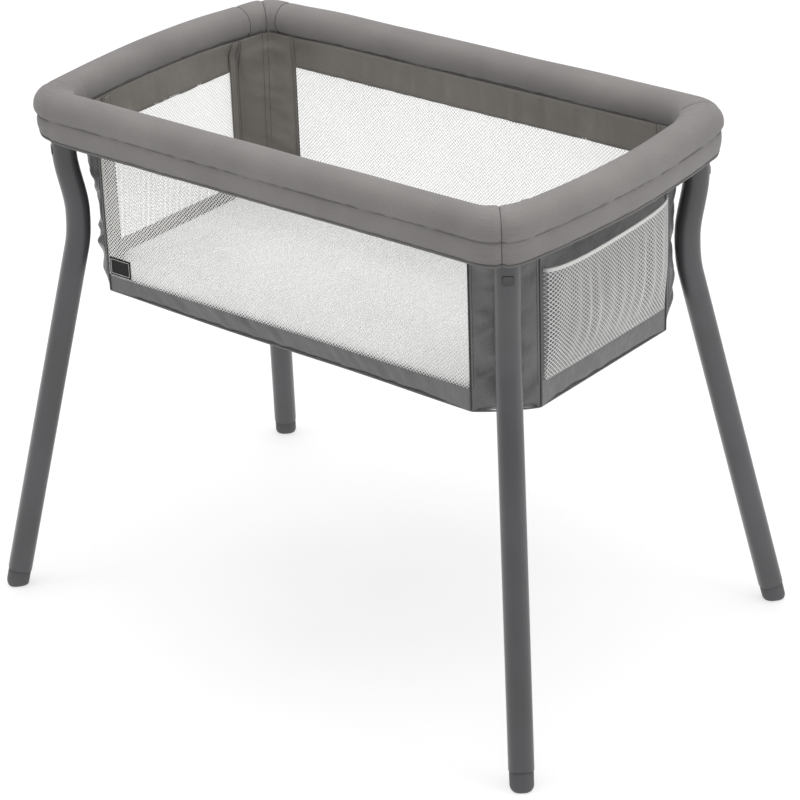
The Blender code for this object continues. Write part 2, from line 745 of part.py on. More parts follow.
def add_legs(paint, rubber, plastic, steel):
    """Four legs, each built in its own frame and turned to its corner."""
    for corner, (sx, sy) in CORNERS.items():
        axis = bpy.data.objects.new(f"leg_axis_{corner}", None)
        bpy.context.scene.collection.objects.link(axis)
        axis.matrix_world = leg_frame(sx, sy)
        pieces = add_leg_tube(corner, paint)
        pieces += add_foot(corner, rubber)
        pieces += add_foot_screw(corner, steel)
        pieces += add_button(corner, plastic)
        pieces += add_button_spring(corner, steel)
        for piece in pieces:
            piece.parent = axis


# ---------------------------------------------------------------- the whole bassinet


def main():
    clear_scene()
    steel = material("zinc_plated_steel", (0.62, 0.63, 0.64), 0.35, 1.0)
    plastic = material("charcoal_nylon", (0.055, 0.055, 0.058), 0.55)
    cover = material("grey_woven_polyester", (0.25, 0.245, 0.245), 0.85)
    lining = material("dark_grey_taffeta", (0.12, 0.115, 0.11), 0.65)
    net = material("white_knit_net", (0.82, 0.82, 0.82), 0.8)
    board = material("grey_fibreboard", (0.32, 0.30, 0.28), 0.8)
    ticking = material("pale_grey_jersey", (0.74, 0.74, 0.74), 0.9)
    paint = material("charcoal_powder_coat", (0.095, 0.095, 0.10), 0.45)
    rubber = material("charcoal_rubber", (0.11, 0.11, 0.115), 0.7)
    label = material("black_woven_tape", (0.012, 0.012, 0.012), 0.9)

    add_rail_tubes(steel)
    add_corner_brackets(plastic)
    add_rail_cover(cover)
    add_basket_walls(lining, net)
    add_corner_panels(lining)
    add_floor_and_bed(lining, board, ticking)
    add_pocket(net)
    add_label(label)
    add_legs(paint, rubber, plastic, steel)


main()
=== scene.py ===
# %% [markdown]
# # A bassinet on a stand
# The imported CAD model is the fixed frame: it says where every tube, bracket and panel is. This
# file makes what a person sees: padded fabric, net, painted legs, light and a camera. Each piece
# is built in place, in metres, and then rides on the CAD body that it belongs to.

import math

import bmesh
import bpy
from mathutils import Matrix, Vector, noise


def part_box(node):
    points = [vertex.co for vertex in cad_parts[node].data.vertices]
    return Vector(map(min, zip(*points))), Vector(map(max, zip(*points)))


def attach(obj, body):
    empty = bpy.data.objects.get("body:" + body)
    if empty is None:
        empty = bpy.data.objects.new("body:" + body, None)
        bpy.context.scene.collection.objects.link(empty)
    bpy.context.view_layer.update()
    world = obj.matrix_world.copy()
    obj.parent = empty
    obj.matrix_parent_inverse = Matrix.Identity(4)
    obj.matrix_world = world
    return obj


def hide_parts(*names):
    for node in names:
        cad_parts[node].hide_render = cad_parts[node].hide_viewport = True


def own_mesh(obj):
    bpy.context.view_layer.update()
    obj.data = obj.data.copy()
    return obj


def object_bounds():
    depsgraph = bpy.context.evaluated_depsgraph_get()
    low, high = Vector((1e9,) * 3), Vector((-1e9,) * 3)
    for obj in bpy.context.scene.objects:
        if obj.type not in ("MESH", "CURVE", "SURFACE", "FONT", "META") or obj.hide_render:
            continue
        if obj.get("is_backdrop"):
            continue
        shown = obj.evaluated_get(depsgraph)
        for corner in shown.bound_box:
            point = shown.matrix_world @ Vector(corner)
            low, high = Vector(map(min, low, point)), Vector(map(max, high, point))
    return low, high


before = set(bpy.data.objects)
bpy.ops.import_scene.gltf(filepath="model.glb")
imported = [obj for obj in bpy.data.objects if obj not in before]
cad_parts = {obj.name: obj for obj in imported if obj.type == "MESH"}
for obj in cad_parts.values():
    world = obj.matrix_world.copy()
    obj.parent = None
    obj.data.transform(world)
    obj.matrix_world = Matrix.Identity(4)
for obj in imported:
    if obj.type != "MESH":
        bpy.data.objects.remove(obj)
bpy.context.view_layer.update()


def in_scene(name, data):
    """A new object for a mesh, a light or a camera, linked to the scene."""
    obj = bpy.data.objects.new(name, data)
    bpy.context.scene.collection.objects.link(obj)
    return obj

# %% [markdown]
# ## Sizes that the visible pieces share
# The rail of the bassinet is swept along one plan line: straight sides, bowed ends and round
# corners. The basket under it is an oblong with its corners cut off. Both outlines come up again
# and again, so their sizes are named once here.

# %% Sizes
HEM_HALF_WIDTH = 0.260
HEM_END_X = 0.446
HEM_CORNER_R = 0.052
END_BOW = 0.016
ROLL_Z = 0.770
ROLL_R = 0.0262
ROLL_INSET = 0.019
BASKET_HALF_LENGTH = 0.402
BASKET_HALF_WIDTH = 0.219
BASKET_CHAMFER = 0.069
BASKET_FLOOR_Z = 0.489
WINDOW_TOP_Z = 0.7035
LINING_TOP_Z = 0.7535
BAND_TOP_Z = BASKET_FLOOR_Z + 0.033
END_BAND_TOP_Z = BASKET_FLOOR_Z + 0.038
SIDE_HALF = BASKET_HALF_LENGTH - BASKET_CHAMFER
END_HALF = BASKET_HALF_WIDTH - BASKET_CHAMFER
CORNER_Y = HEM_HALF_WIDTH - HEM_CORNER_R
END_R = (CORNER_Y**2 + END_BOW**2) / (2 * END_BOW)
END_CENTRE_X = HEM_END_X - END_R
CORNER_X = END_CENTRE_X + math.sqrt((END_R - HEM_CORNER_R) ** 2 - CORNER_Y**2)
END_HALF_ANGLE = math.asin(CORNER_Y / (END_R - HEM_CORNER_R))
CORNERS = {"front_left": (-1, -1), "front_right": (1, -1), "back_left": (-1, 1), "back_right": (1, 1)}
print(f"corner centres at {CORNER_X:.4f}, {CORNER_Y:.4f} m; bowed ends of radius {END_R:.3f} m")

# %% [markdown]
# ## Helpers for materials
# Colours are written as the sRGB hex values that a colour picker shows, and one function turns
# them to the linear values that a shader needs. One small function adds a node, sets it and links
# it, so each material below reads as a short list of what its surface is made of.


# %% Material helpers
def srgb(code):
    """A hex colour as linear red, green, blue and alpha."""
    parts = [int(code[i : i + 2], 16) / 255 for i in (1, 3, 5)]
    linear = [c / 12.92 if c <= 0.04045 else ((c + 0.055) / 1.055) ** 2.4 for c in parts]
    return (*linear, 1.0)


def add_node(tree, kind, settings=None, **links):
    """A node of a kind, with its settings and its inputs, which are values or other sockets."""
    node = tree.nodes.new(kind)
    for key, value in (settings or {}).items():
        setattr(node, key, value)
    for key, value in links.items():
        name = key.replace("_", " ")
        found = [s for s in node.inputs if s.name.replace("_", " ") == name and s.enabled]
        socket = found[0] if found else node.inputs[int(key.split("_")[-1])]
        if isinstance(value, bpy.types.NodeSocket):
            tree.links.new(value, socket)
        else:
            socket.default_value = value
    return node


def new_material(name, **shader_values):
    """A material with one Principled shader, and that shader and its tree."""
    made = bpy.data.materials.new(name)
    made.use_nodes = True
    tree = made.node_tree
    shader = tree.nodes["Principled BSDF"]
    for key, value in shader_values.items():
        shader.inputs[key.replace("_", " ")].default_value = value
    return made, tree, shader


def ramp_between(tree, factor, low, high, start=0.0, stop=1.0):
    """A colour that goes from one hex value to another as a factor rises."""
    ramp = tree.nodes.new("ShaderNodeValToRGB")
    ramp.color_ramp.elements[0].position = start
    ramp.color_ramp.elements[1].position = stop
    ramp.color_ramp.elements[0].color = srgb(low)
    ramp.color_ramp.elements[1].color = srgb(high)
    tree.links.new(factor, ramp.inputs["Fac"])
    return ramp.outputs["Color"]


# %% [markdown]
# ## Woven cloth
# The rail cover is a plain-woven polyester, and the basket is lined with a thinner taffeta. Both
# are threads that pass over and under each other, so two crossed waves on the piece's own UV map
# make the weave. The UV map is in metres, so the thread spacing is a real size. Real threads here
# are about 0.4 mm apart, which is too fine to show, so the waves are drawn at 1.1 mm. A slow noise
# shifts the colour as uneven dye and handling do.


# %% Cloth materials
def woven(name, low, high, thread, depth, roughness, sheen, slub=0.35, gloss=0.3, crease=0.0015):
    made, tree, shader = new_material(
        name, Roughness=roughness, Sheen_Weight=sheen, Sheen_Roughness=0.5, Specular_IOR_Level=gloss
    )
    uv = add_node(tree, "ShaderNodeUVMap", {"uv_map": "cloth"}).outputs["UV"]
    turns = 1 / thread
    waves = []
    for direction in ("X", "Y"):
        settings = {"wave_type": "BANDS", "bands_direction": direction, "wave_profile": "SIN"}
        wave = add_node(
            tree, "ShaderNodeTexWave", settings, Vector=uv, Scale=turns / 20 * 2 * math.pi, Distortion=0.0
        )
        waves.append(wave.outputs["Fac"])
    weave = add_node(tree, "ShaderNodeMath", {"operation": "MULTIPLY"}, in_0=waves[0], in_1=waves[1])
    slow = add_node(tree, "ShaderNodeTexNoise", None, Vector=uv, Scale=9.0, Detail=4.0)
    fine = add_node(tree, "ShaderNodeTexNoise", None, Vector=uv, Scale=420.0, Detail=2.0)
    mixed = add_node(
        tree, "ShaderNodeMix", {"data_type": "FLOAT"}, Factor=slub, A=slow.outputs["Fac"], B=fine.outputs["Fac"]
    )
    colour = ramp_between(tree, mixed.outputs["Result"], low, high, 0.32, 0.68)
    tree.links.new(colour, shader.inputs["Base Color"])
    bump = add_node(
        tree, "ShaderNodeBump", None, Strength=0.2, Distance=depth, Height=weave.outputs["Value"]
    )
    creases = add_node(tree, "ShaderNodeTexNoise", None, Vector=uv, Scale=60.0, Detail=5.0)
    soft = add_node(
        tree, "ShaderNodeBump", None, Strength=0.3, Distance=crease, Height=creases.outputs["Fac"],
        Normal=bump.outputs["Normal"],
    )
    tree.links.new(soft.outputs["Normal"], shader.inputs["Normal"])
    return made


cover_cloth = woven("plain woven polyester, mid grey", "#747170", "#858280", 0.0011, 0.0003, 0.84, 0.12)
hem_cloth = woven("plain woven hem binding, mid grey", "#62605f", "#706e6c", 0.0009, 0.0003, 0.84, 0.12)
panel_cloth = woven(
    "polyester taffeta, dark grey", "#48484a", "#5f5f60", 0.0011, 0.0002, 0.36, 0.1, gloss=0.8, crease=0.006
)
lining_cloth = woven(
    "polyester taffeta, warm grey", "#6b6761", "#7f7b76", 0.0011, 0.0002, 0.55, 0.1, gloss=0.4, crease=0.003
)
tape_cloth = woven("woven edge tape, dark grey", "#454443", "#525150", 0.0009, 0.0003, 0.8, 0.15)
pocket_tape = woven("woven edge tape, pale grey", "#cfcfcd", "#dededc", 0.0009, 0.0003, 0.8, 0.15)
jersey = woven(
    "cotton jersey over foam, pale grey", "#cfcfd0", "#d5d5d5", 0.0014, 0.00008, 0.9, 0.2, 0.15, crease=0.0004
)
print("woven cloths made")

# %% [markdown]
# ## Yarn, thread, paint, plastic and steel
# The net is a warp-knitted white polyester yarn, matt and slightly translucent. Sewing thread is a
# darker polyester. The legs are steel tube with a charcoal powder coat: a fine orange peel that
# gives wide, soft highlights. The foot caps and buttons are moulded, with the faint grain of a
# spark-eroded mould. Zinc plating is bright, with streaks along the tube.


# %% Hard materials and yarns
def coated(name, low, high, grain, depth, roughness, metallic=0.0, coat=0.0):
    """A sprayed, moulded or plated surface with a fine grain, on the object's own coordinates."""
    made, tree, shader = new_material(
        name, Roughness=roughness, Metallic=metallic, Coat_Weight=coat, Coat_Roughness=0.35
    )
    place = add_node(tree, "ShaderNodeTexCoord").outputs["Object"]
    spots = add_node(tree, "ShaderNodeTexNoise", None, Vector=place, Scale=1 / grain, Detail=3.0)
    slow = add_node(tree, "ShaderNodeTexNoise", None, Vector=place, Scale=7.0, Detail=3.0)
    colour = ramp_between(tree, slow.outputs["Fac"], low, high, 0.35, 0.65)
    tree.links.new(colour, shader.inputs["Base Color"])
    bump = add_node(
        tree, "ShaderNodeBump", None, Strength=0.3, Distance=depth, Height=spots.outputs["Fac"]
    )
    tree.links.new(bump.outputs["Normal"], shader.inputs["Normal"])
    return made


net_yarn = coated("white polyester yarn", "#efefed", "#f8f8f6", 0.0009, 0.0001, 0.75)
pocket_yarn = coated("pale grey polyester yarn", "#dcdcda", "#ebebe9", 0.0009, 0.0002, 0.75)
dark_thread = coated("polyester thread, charcoal", "#2b2928", "#373534", 0.0006, 0.0001, 0.7)
leg_paint = coated("charcoal powder coat", "#444446", "#4c4c4f", 0.0012, 0.00012, 0.36, coat=0.3)
foot_rubber = coated("moulded rubber, charcoal", "#4b4b4d", "#545456", 0.0010, 0.0002, 0.6)
button_nylon = coated("moulded nylon, charcoal", "#424244", "#49494b", 0.0008, 0.0001, 0.45)
bracket_nylon = coated("moulded nylon, black", "#2c2c2e", "#343436", 0.0010, 0.0002, 0.55)
zinc_steel = coated("zinc plated steel", "#b9bcbf", "#cfd2d4", 0.0030, 0.0001, 0.34, metallic=1.0)
fibreboard = coated("grey laminated fibreboard", "#8b8883", "#99958f", 0.0016, 0.0002, 0.7)
label_weave = woven("black woven patch", "#141414", "#1f1f1f", 0.0008, 0.0003, 0.8, 0.1)
print("yarns, paint, plastic and steel made")

# %% [markdown]
# ## Camera
# A long lens from well above the front right-hand corner shows the rail, the net windows and the
# pocket at once. Its place is written as a point, a heading, a downward pitch and a slight roll,
# and the matrix is built from those.

# %% Camera
CAMERA_PLACE = Vector((2.5317, -3.0279, 2.2660))
CAMERA_YAW = 2.2612
CAMERA_PITCH = -0.4582
CAMERA_ROLL = -0.0360
FOCAL_SHARE = 3001 / 800
SENSOR_MM = 36.0

ahead = Vector(
    (
        math.cos(CAMERA_YAW) * math.cos(CAMERA_PITCH),
        math.sin(CAMERA_YAW) * math.cos(CAMERA_PITCH),
        math.sin(CAMERA_PITCH),
    )
)
level_right = ahead.cross(Vector((0, 0, 1))).normalized()
level_up = level_right.cross(ahead)
right = level_right * math.cos(CAMERA_ROLL) + level_up * math.sin(CAMERA_ROLL)
up = level_up * math.cos(CAMERA_ROLL) - level_right * math.sin(CAMERA_ROLL)
lens = bpy.data.cameras.new("camera")
lens.sensor_width = SENSOR_MM
lens.lens = SENSOR_MM * FOCAL_SHARE
lens.clip_start = 0.1
lens.clip_end = 60
camera = in_scene("camera", lens)
turn = Matrix((right, up, -ahead)).transposed().to_4x4()
camera.matrix_world = Matrix.Translation(CAMERA_PLACE) @ turn
bpy.context.scene.camera = camera
print(f"camera lens {lens.lens:.1f} mm, {CAMERA_PLACE.length:.2f} m from the origin")

# %% [markdown]
# ## Floor and light
# A studio product shot: a backlit pale floor that runs into a pale background, one very broad soft
# light above, two small ones from the sides, and a dim even sky. The floor glows a little by
# itself, as an opal glass table does, so the shadow on it stays faint.

# %% Floor and light
floor_finish, floor_tree, floor_shader = new_material(
    "opal white studio floor", Roughness=0.9, Emission_Color=(1, 1, 1, 1), Emission_Strength=0.62
)
floor_place = add_node(floor_tree, "ShaderNodeTexCoord").outputs["Object"]
floor_noise = add_node(floor_tree, "ShaderNodeTexNoise", None, Vector=floor_place, Scale=1.5)
floor_tone = ramp_between(floor_tree, floor_noise.outputs["Fac"], "#a9a9a9", "#acacac")
floor_tree.links.new(floor_tone, floor_shader.inputs["Base Color"])
floor_mesh = bpy.data.meshes.new("floor")
floor_mesh.from_pydata([(-30, -30, 0), (30, -30, 0), (30, 30, 0), (-30, 30, 0)], [], [(0, 1, 2, 3)])
floor_mesh.materials.append(floor_finish)
floor = in_scene("floor", floor_mesh)
floor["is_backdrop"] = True


def softbox(name, place, aim, size, power):
    """A square area light that points at a place."""
    light = bpy.data.lights.new(name, "AREA")
    light.shape = "SQUARE"
    light.size = size
    light.energy = power
    lamp = in_scene(name, light)
    way = Vector(aim) - Vector(place)
    lamp.matrix_world = Matrix.Translation(place) @ way.to_track_quat("-Z", "Y").to_matrix().to_4x4()


softbox("overhead softbox", (0.0, 0.0, 4.5), (0, 0, 0.0), 7.0, 290)
softbox("right-hand softbox", (3.2, 0.6, 1.6), (0, 0, 0.5), 1.8, 22)
softbox("left-hand softbox", (-2.6, -2.4, 1.4), (0, 0, 0.5), 1.2, 10)
sky = bpy.data.worlds.new("even studio sky")
bpy.context.scene.world = sky
sky.use_nodes = True
sky.node_tree.nodes["Background"].inputs["Color"].default_value = (1, 1, 1, 1)
sky.node_tree.nodes["Background"].inputs["Strength"].default_value = 0.35
bpy.context.scene.view_settings.view_transform = "Standard"
print("floor, three softboxes and a sky")

# %% [markdown]
# ## Helpers for cloth meshes
# Most pieces here are a grid: stations along a path, and points across each station. One function
# turns such a grid into a mesh whose UV map is in metres, so that weaves keep their scale. A
# second one gives a sheet of cloth its two sides, and a third puts a finished mesh in the scene.


# %% Mesh helpers
def running_length(points, closed=False):
    """Distance along a row of points, starting at 0."""
    total = [0.0]
    for a, b in zip(points, points[1:]):
        total.append(total[-1] + (Vector(b) - Vector(a)).length)
    if closed:
        total.append(total[-1] + (Vector(points[0]) - Vector(points[-1])).length)
    return total


def grid_mesh(name, rows, ring=False, tube=False):
    """A mesh on rows of points. A ring joins the last row to the first; a tube joins across."""
    count, width = len(rows), len(rows[0])
    middle = width // 2
    along = running_length([row[middle] for row in rows], ring)
    across = running_length(rows[count // 2], tube)
    faces, corners = [], []
    for r in range(count if ring else count - 1):
        nxt = (r + 1) % count
        for c in range(width if tube else width - 1):
            d = (c + 1) % width
            faces.append((r * width + c, r * width + d, nxt * width + d, nxt * width + c))
            low, high = across[c], across[c + 1]
            corners += [(along[r], low), (along[r], high), (along[r + 1], high), (along[r + 1], low)]
    if tube and not ring:
        faces.append(tuple(reversed(range(width))))
        faces.append(tuple((count - 1) * width + c for c in range(width)))
        corners += [(across[c], 0) for c in reversed(range(width))]
        corners += [(across[c], 0) for c in range(width)]
    mesh = bpy.data.meshes.new(name)
    mesh.from_pydata([tuple(p) for row in rows for p in row], [], faces)
    uv = mesh.uv_layers.new(name="cloth")
    flat = [value for pair in corners for value in pair]
    uv.data.foreach_set("uv", flat)
    return mesh


def place_piece(name, mesh, body, slot, *materials):
    """The finished mesh as a piece of the object, with its faces outwards and shaded smooth."""
    bm = bmesh.new()
    bm.from_mesh(mesh)
    bmesh.ops.recalc_face_normals(bm, faces=bm.faces)
    bm.to_mesh(mesh)
    bm.free()
    for finish in materials:
        mesh.materials.append(finish)
    mesh.shade_smooth()
    obj = in_scene(name, mesh)
    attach(obj, body)
    return obj


def two_sided(rows, thickness):
    """Rows of a sheet's outer face, turned into closed sections that hold its inner face too."""
    made = []
    for r, row in enumerate(rows):
        before = rows[max(r - 1, 0)]
        after = rows[min(r + 1, len(rows) - 1)]
        inner = []
        for c, point in enumerate(row):
            run = Vector(after[c]) - Vector(before[c])
            rise = Vector(row[min(c + 1, len(row) - 1)]) - Vector(row[max(c - 1, 0)])
            inner.append(Vector(point) - run.cross(rise).normalized() * thickness)
        made.append([Vector(p) for p in row] + list(reversed(inner)))
    return made


def wave_of(x, y, z=0.0, seed=0):
    """Smooth noise between about -1 and 1."""
    return noise.noise(Vector((x, y, z + 17.3 * seed)))


def ease(t):
    t = min(1.0, max(0.0, t))
    return t * t * (3 - 2 * t)


print("grid, cloth and noise helpers ready")

# %% [markdown]
# ## The rail's plan line
# The padded roll is centred on the steel tube. Its plan line is sampled every few millimetres,
# more closely round the corners, as points with the way outwards. Everything that goes round the
# rail is a section placed at those stations.


# %% Rail stations
def arc_stations(centre, radius, start, stop, step):
    """Points and outward directions along an arc, without its last point."""
    count = max(2, math.ceil(abs(stop - start) * radius / step))
    made = []
    for i in range(count):
        t = start + (stop - start) * i / count
        way = Vector((math.cos(t), math.sin(t), 0))
        made.append((Vector((*centre, 0)) + way * radius, way))
    return made


def rail_stations(step=0.005, corner_step=0.0022):
    """All round the roll's centre line, anticlockwise from the front left-hand corner."""
    side_y = HEM_HALF_WIDTH - ROLL_INSET
    corner_r = HEM_CORNER_R - ROLL_INSET
    end_r = END_R - ROLL_INSET
    half = math.pi / 2
    count = round(2 * CORNER_X / step)
    side = [CORNER_X * (2 * i / count - 1) for i in range(count)]
    made = [(Vector((x, -side_y, 0)), Vector((0, -1, 0))) for x in side]
    made += arc_stations((CORNER_X, -CORNER_Y), corner_r, -half, -END_HALF_ANGLE, corner_step)
    made += arc_stations((END_CENTRE_X, 0), end_r, -END_HALF_ANGLE, END_HALF_ANGLE, step)
    made += arc_stations((CORNER_X, CORNER_Y), corner_r, END_HALF_ANGLE, half, corner_step)
    return made + [(Vector((-p.x, -p.y, 0)), -way) for p, way in made]


# The cover is sewn tighter round the back left-hand corner, which three seams cross
TIGHT_CORNER = Vector((-CORNER_X, CORNER_Y, 0))
TIGHT_BY = 0.009
TIGHT_FADE = 0.06


def drawn_in(centre):
    """A place on the plan line, moved in towards the basket near the tight corner."""
    gap = max(0.0, (centre - TIGHT_CORNER).length - (TIGHT_CORNER_NEAR - 0.001))
    return centre + Vector((1, -1, 0)).normalized() * TIGHT_BY * math.exp(-((gap / TIGHT_FADE) ** 2))


RAIL = rail_stations()
TIGHT_CORNER_NEAR = min((centre - TIGHT_CORNER).length for centre, _ in RAIL)
RAIL = [(drawn_in(centre), way) for centre, way in RAIL]
RAIL_RUN = running_length([p for p, _ in RAIL], closed=True)
print(f"{len(RAIL)} stations on {RAIL_RUN[-1]:.3f} m of rail")

# %% [markdown]
# ## Padded rail cover
# On the real cover a foam tube is wrapped in cloth, and a flat skirt is sewn under its outer side.
# The stitching pulls a groove into the foam, and the cloth puckers along it. The section below is
# the round roll, the groove and the gently bulging skirt down to its turned hem. It is swept round
# the rail, and noise that fades away from each seam makes the puckers. Seams that cross the roll
# at the corners pull narrow grooves of their own.

# %% Rail cover section
SEAM_ANGLE = -24
INNER_SEAM_ANGLE = 215
INNER_CORNER_R = 0.034
SKIRT_FACE = (
    (0.0216, -0.0118),
    (0.0224, -0.0140),
    (0.0232, -0.0175),
    (0.0236, -0.0220),
    (0.0235, -0.0265),
    (0.0230, -0.0310),
    (0.0221, -0.0355),
    (0.0211, -0.0390),
    (0.0202, -0.0412),
    (0.0200, -0.0420),
    (0.0204, -0.0430),
    (0.0200, -0.0452),
    (0.0186, -0.0462),
    (0.0170, -0.0452),
    (0.0166, -0.0400),
    (0.0164, -0.0320),
    (0.0158, -0.0260),
)
SEAM_UP = SKIRT_FACE[0][1]


def roll_section():
    """(out, up, share of seam pull, share of hem pull) round the cover's closed section."""
    made = []
    for i in range(46):
        angle = SEAM_ANGLE + 2 + (INNER_SEAM_ANGLE + 85 - SEAM_ANGLE - 2) * i / 45
        t = math.radians(angle)
        radius = ROLL_R
        outer_pull = math.exp(-(((angle - SEAM_ANGLE) / 10) ** 2))
        inner_pull = math.exp(-(((angle - INNER_SEAM_ANGLE) / 7) ** 2))
        radius -= 0.0026 * outer_pull + 0.0020 * inner_pull
        pull = outer_pull + inner_pull
        made.append((radius * math.cos(t), radius * math.sin(t), pull, 0.0))
    made += [(out, up, 0.0, 0.0) for out, up in reversed(SKIRT_FACE[13:])]
    for out, up in reversed(SKIRT_FACE[:13]):
        seam_pull = math.exp(-(((up + 0.0118) / 0.005) ** 2))
        hem_pull = math.exp(-(((up + 0.0415) / 0.004) ** 2))
        made.append((out, up, seam_pull, hem_pull))
    return made


SECTION = roll_section()
print(f"rail cover section has {len(SECTION)} points")

# %% [markdown]
# The cross seams sit where the real cover's panels meet: one on the front right-hand corner, three
# round the back left-hand one, one beside each of the other two.

# %% Cross seams and the swept cover
CORNER_ARC = (HEM_CORNER_R - ROLL_INSET) * (math.pi / 2 - END_HALF_ANGLE)
SIDE_RUN = 2 * CORNER_X
END_RUN = 2 * END_HALF_ANGLE * (END_R - ROLL_INSET)
HALF_RUN = SIDE_RUN + 2 * CORNER_ARC + END_RUN
FRONT_RIGHT = SIDE_RUN + CORNER_ARC / 2
BACK_RIGHT = SIDE_RUN + CORNER_ARC * 1.5 + END_RUN
BACK_LEFT = HALF_RUN + FRONT_RIGHT
FRONT_LEFT = HALF_RUN + BACK_RIGHT
CROSS_SEAMS = (
    FRONT_RIGHT,
    BACK_RIGHT,
    BACK_LEFT - 0.041,
    BACK_LEFT,
    BACK_LEFT + 0.041,
    FRONT_LEFT - 0.036,
)


def cross_pull(run, width):
    """How strongly a cross seam pulls the cloth in at a place along the rail."""
    total = RAIL_RUN[-1]
    pull = 0.0
    for seam in CROSS_SEAMS:
        gap = abs(run - seam)
        gap = min(gap, total - gap)
        pull = max(pull, math.exp(-((gap / width) ** 2)))
    return pull


def corner_fill(centre, way):
    """How far the padding reaches in past its round section, to round off an inner corner."""
    reach = INNER_CORNER_R - (HEM_CORNER_R - ROLL_INSET - ROLL_R)
    pivot = Vector((CORNER_X - reach, CORNER_Y - reach, 0))
    local = Vector((abs(centre.x), abs(centre.y), 0)) - pivot
    if local.x <= 0 or local.y <= 0:
        return 0.0
    outwards = Vector((abs(way.x), abs(way.y), 0))
    b = local.dot(outwards)
    inside = b * b - local.length_squared + INNER_CORNER_R**2
    if inside <= 0:
        return 0.0
    return max(0.0, b - math.sqrt(inside) - ROLL_R)


def inner_share(out):
    return ease((0.3 - out / ROLL_R) / 1.2)


def cover_point(station, run, section_point, lift=0.0):
    """A point of the cover's surface, with its puckers, and optionally lifted off it."""
    centre, way = station
    out, up, seam_pull, hem_pull = section_point
    length = math.hypot(out, up)
    corner = min(abs(abs(centre.x) - CORNER_X), 0.05) / 0.05 if abs(centre.y) > CORNER_Y - 0.03 else 1
    pucker = 0.0020 * wave_of(run * 75, up * 20, 0, 1) * min(1.0, seam_pull + 0.7 * hem_pull)
    pucker += 0.0013 * wave_of(run * 8, out * 22, up * 22, 2)
    if corner < 1 and out < 0:
        pucker += 0.0014 * (1 - corner) * wave_of(run * 120, out * 15, up * 15, 3)
    pucker -= 0.0024 * cross_pull(run, 0.0026)
    scale = (length + pucker + lift) / length
    if up < SEAM_UP:
        from_corner = (centre - Vector((-HEM_END_X, -CORNER_Y, 0))).length
        up += (SEAM_UP - up) * 0.2 * math.exp(-((from_corner / 0.075) ** 2))
    reach = out * scale - corner_fill(centre, way) * inner_share(out)
    return centre + way * reach + Vector((0, 0, ROLL_Z + up * scale))


cover_rows = [
    [cover_point(station, run, point) for point in SECTION] for station, run in zip(RAIL, RAIL_RUN)
]
cover_mesh = grid_mesh("rail_cover", cover_rows, ring=True, tube=True)
in_hem = [int(point[1] < -0.0412) for point in SECTION]
cover_mesh.polygons.foreach_set("material_index", in_hem * len(cover_rows))
rail_cover = place_piece("rail_cover", cover_mesh, "frame", "cover_polyester", cover_cloth, hem_cloth)
cover_nodes = [f"rail_cover_{side}" for side in ("front", "back", "left", "right")]
cover_nodes += [f"rail_cover_corner_{corner}" for corner in CORNERS]
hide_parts(*cover_nodes)
print(f"rail cover: {len(rail_cover.data.polygons)} faces")

# %% [markdown]
# ## Stitches
# A sewn seam is a row of short threads, each dipping into the cloth at its ends. Hundreds of equal
# pieces along a path are a job for Geometry Nodes: the path is resampled at the stitch pitch, a
# small rounded bar is put at every point, turned along the path, and the result is made real.


# %% Stitch tree
def tree_input(tree, name, kind, value=None):
    made = tree.interface.new_socket(name, in_out="INPUT", socket_type=kind)
    if value is not None:
        made.default_value = value
    return made


def stitch_tree():
    tree = bpy.data.node_groups.new("stitches along a path", "GeometryNodeTree")
    tree_input(tree, "Path", "NodeSocketGeometry")
    tree_input(tree, "Pitch", "NodeSocketFloat", 0.003)
    tree_input(tree, "Stitch Length", "NodeSocketFloat", 0.0022)
    tree_input(tree, "Thread Width", "NodeSocketFloat", 0.0006)
    tree_input(tree, "Thread", "NodeSocketMaterial")
    tree.interface.new_socket("Stitches", in_out="OUTPUT", socket_type="NodeSocketGeometry")
    given = tree.nodes.new("NodeGroupInput").outputs
    result = tree.nodes.new("NodeGroupOutput")
    curve = add_node(tree, "GeometryNodeMeshToCurve", None, Mesh=given["Path"])
    spaced = add_node(
        tree, "GeometryNodeResampleCurve", {"mode": "LENGTH"}, Curve=curve.outputs["Curve"],
        Length=given["Pitch"],
    )
    tangent = add_node(tree, "GeometryNodeInputTangent")
    turned = add_node(
        tree, "FunctionNodeAlignRotationToVector", {"axis": "X"}, Vector=tangent.outputs["Tangent"]
    )
    bar = add_node(tree, "GeometryNodeMeshIcoSphere", None, Radius=0.5, Subdivisions=1)
    size = add_node(
        tree, "ShaderNodeCombineXYZ", None, X=given["Stitch Length"], Y=given["Thread Width"],
        Z=given["Thread Width"],
    )
    placed = add_node(
        tree, "GeometryNodeInstanceOnPoints", None, Points=spaced.outputs["Curve"],
        Instance=bar.outputs["Mesh"], Rotation=turned.outputs["Rotation"], Scale=size.outputs["Vector"],
    )
    real = add_node(tree, "GeometryNodeRealizeInstances", None, Geometry=placed.outputs["Instances"])
    finished = add_node(
        tree, "GeometryNodeSetMaterial", None, Geometry=real.outputs["Geometry"],
        Material=given["Thread"],
    )
    tree.links.new(finished.outputs["Geometry"], result.inputs[0])
    return tree


def run_tree(name, mesh, tree, **values):
    """Runs a node tree on a mesh and gives back the plain mesh that it makes."""
    holder = in_scene(name + "_source", mesh)
    step = holder.modifiers.new("nodes", "NODES")
    step.node_group = tree
    ids = {s.name: s.identifier for s in tree.interface.items_tree if s.in_out == "INPUT"}
    for key, value in values.items():
        step[ids[key.replace("_", " ")]] = value
    bpy.context.view_layer.update()
    seen = holder.evaluated_get(bpy.context.evaluated_depsgraph_get())
    made = bpy.data.meshes.new_from_object(seen, depsgraph=bpy.context.evaluated_depsgraph_get())
    bpy.data.objects.remove(holder)
    made.name = name
    return made


STITCHES = stitch_tree()


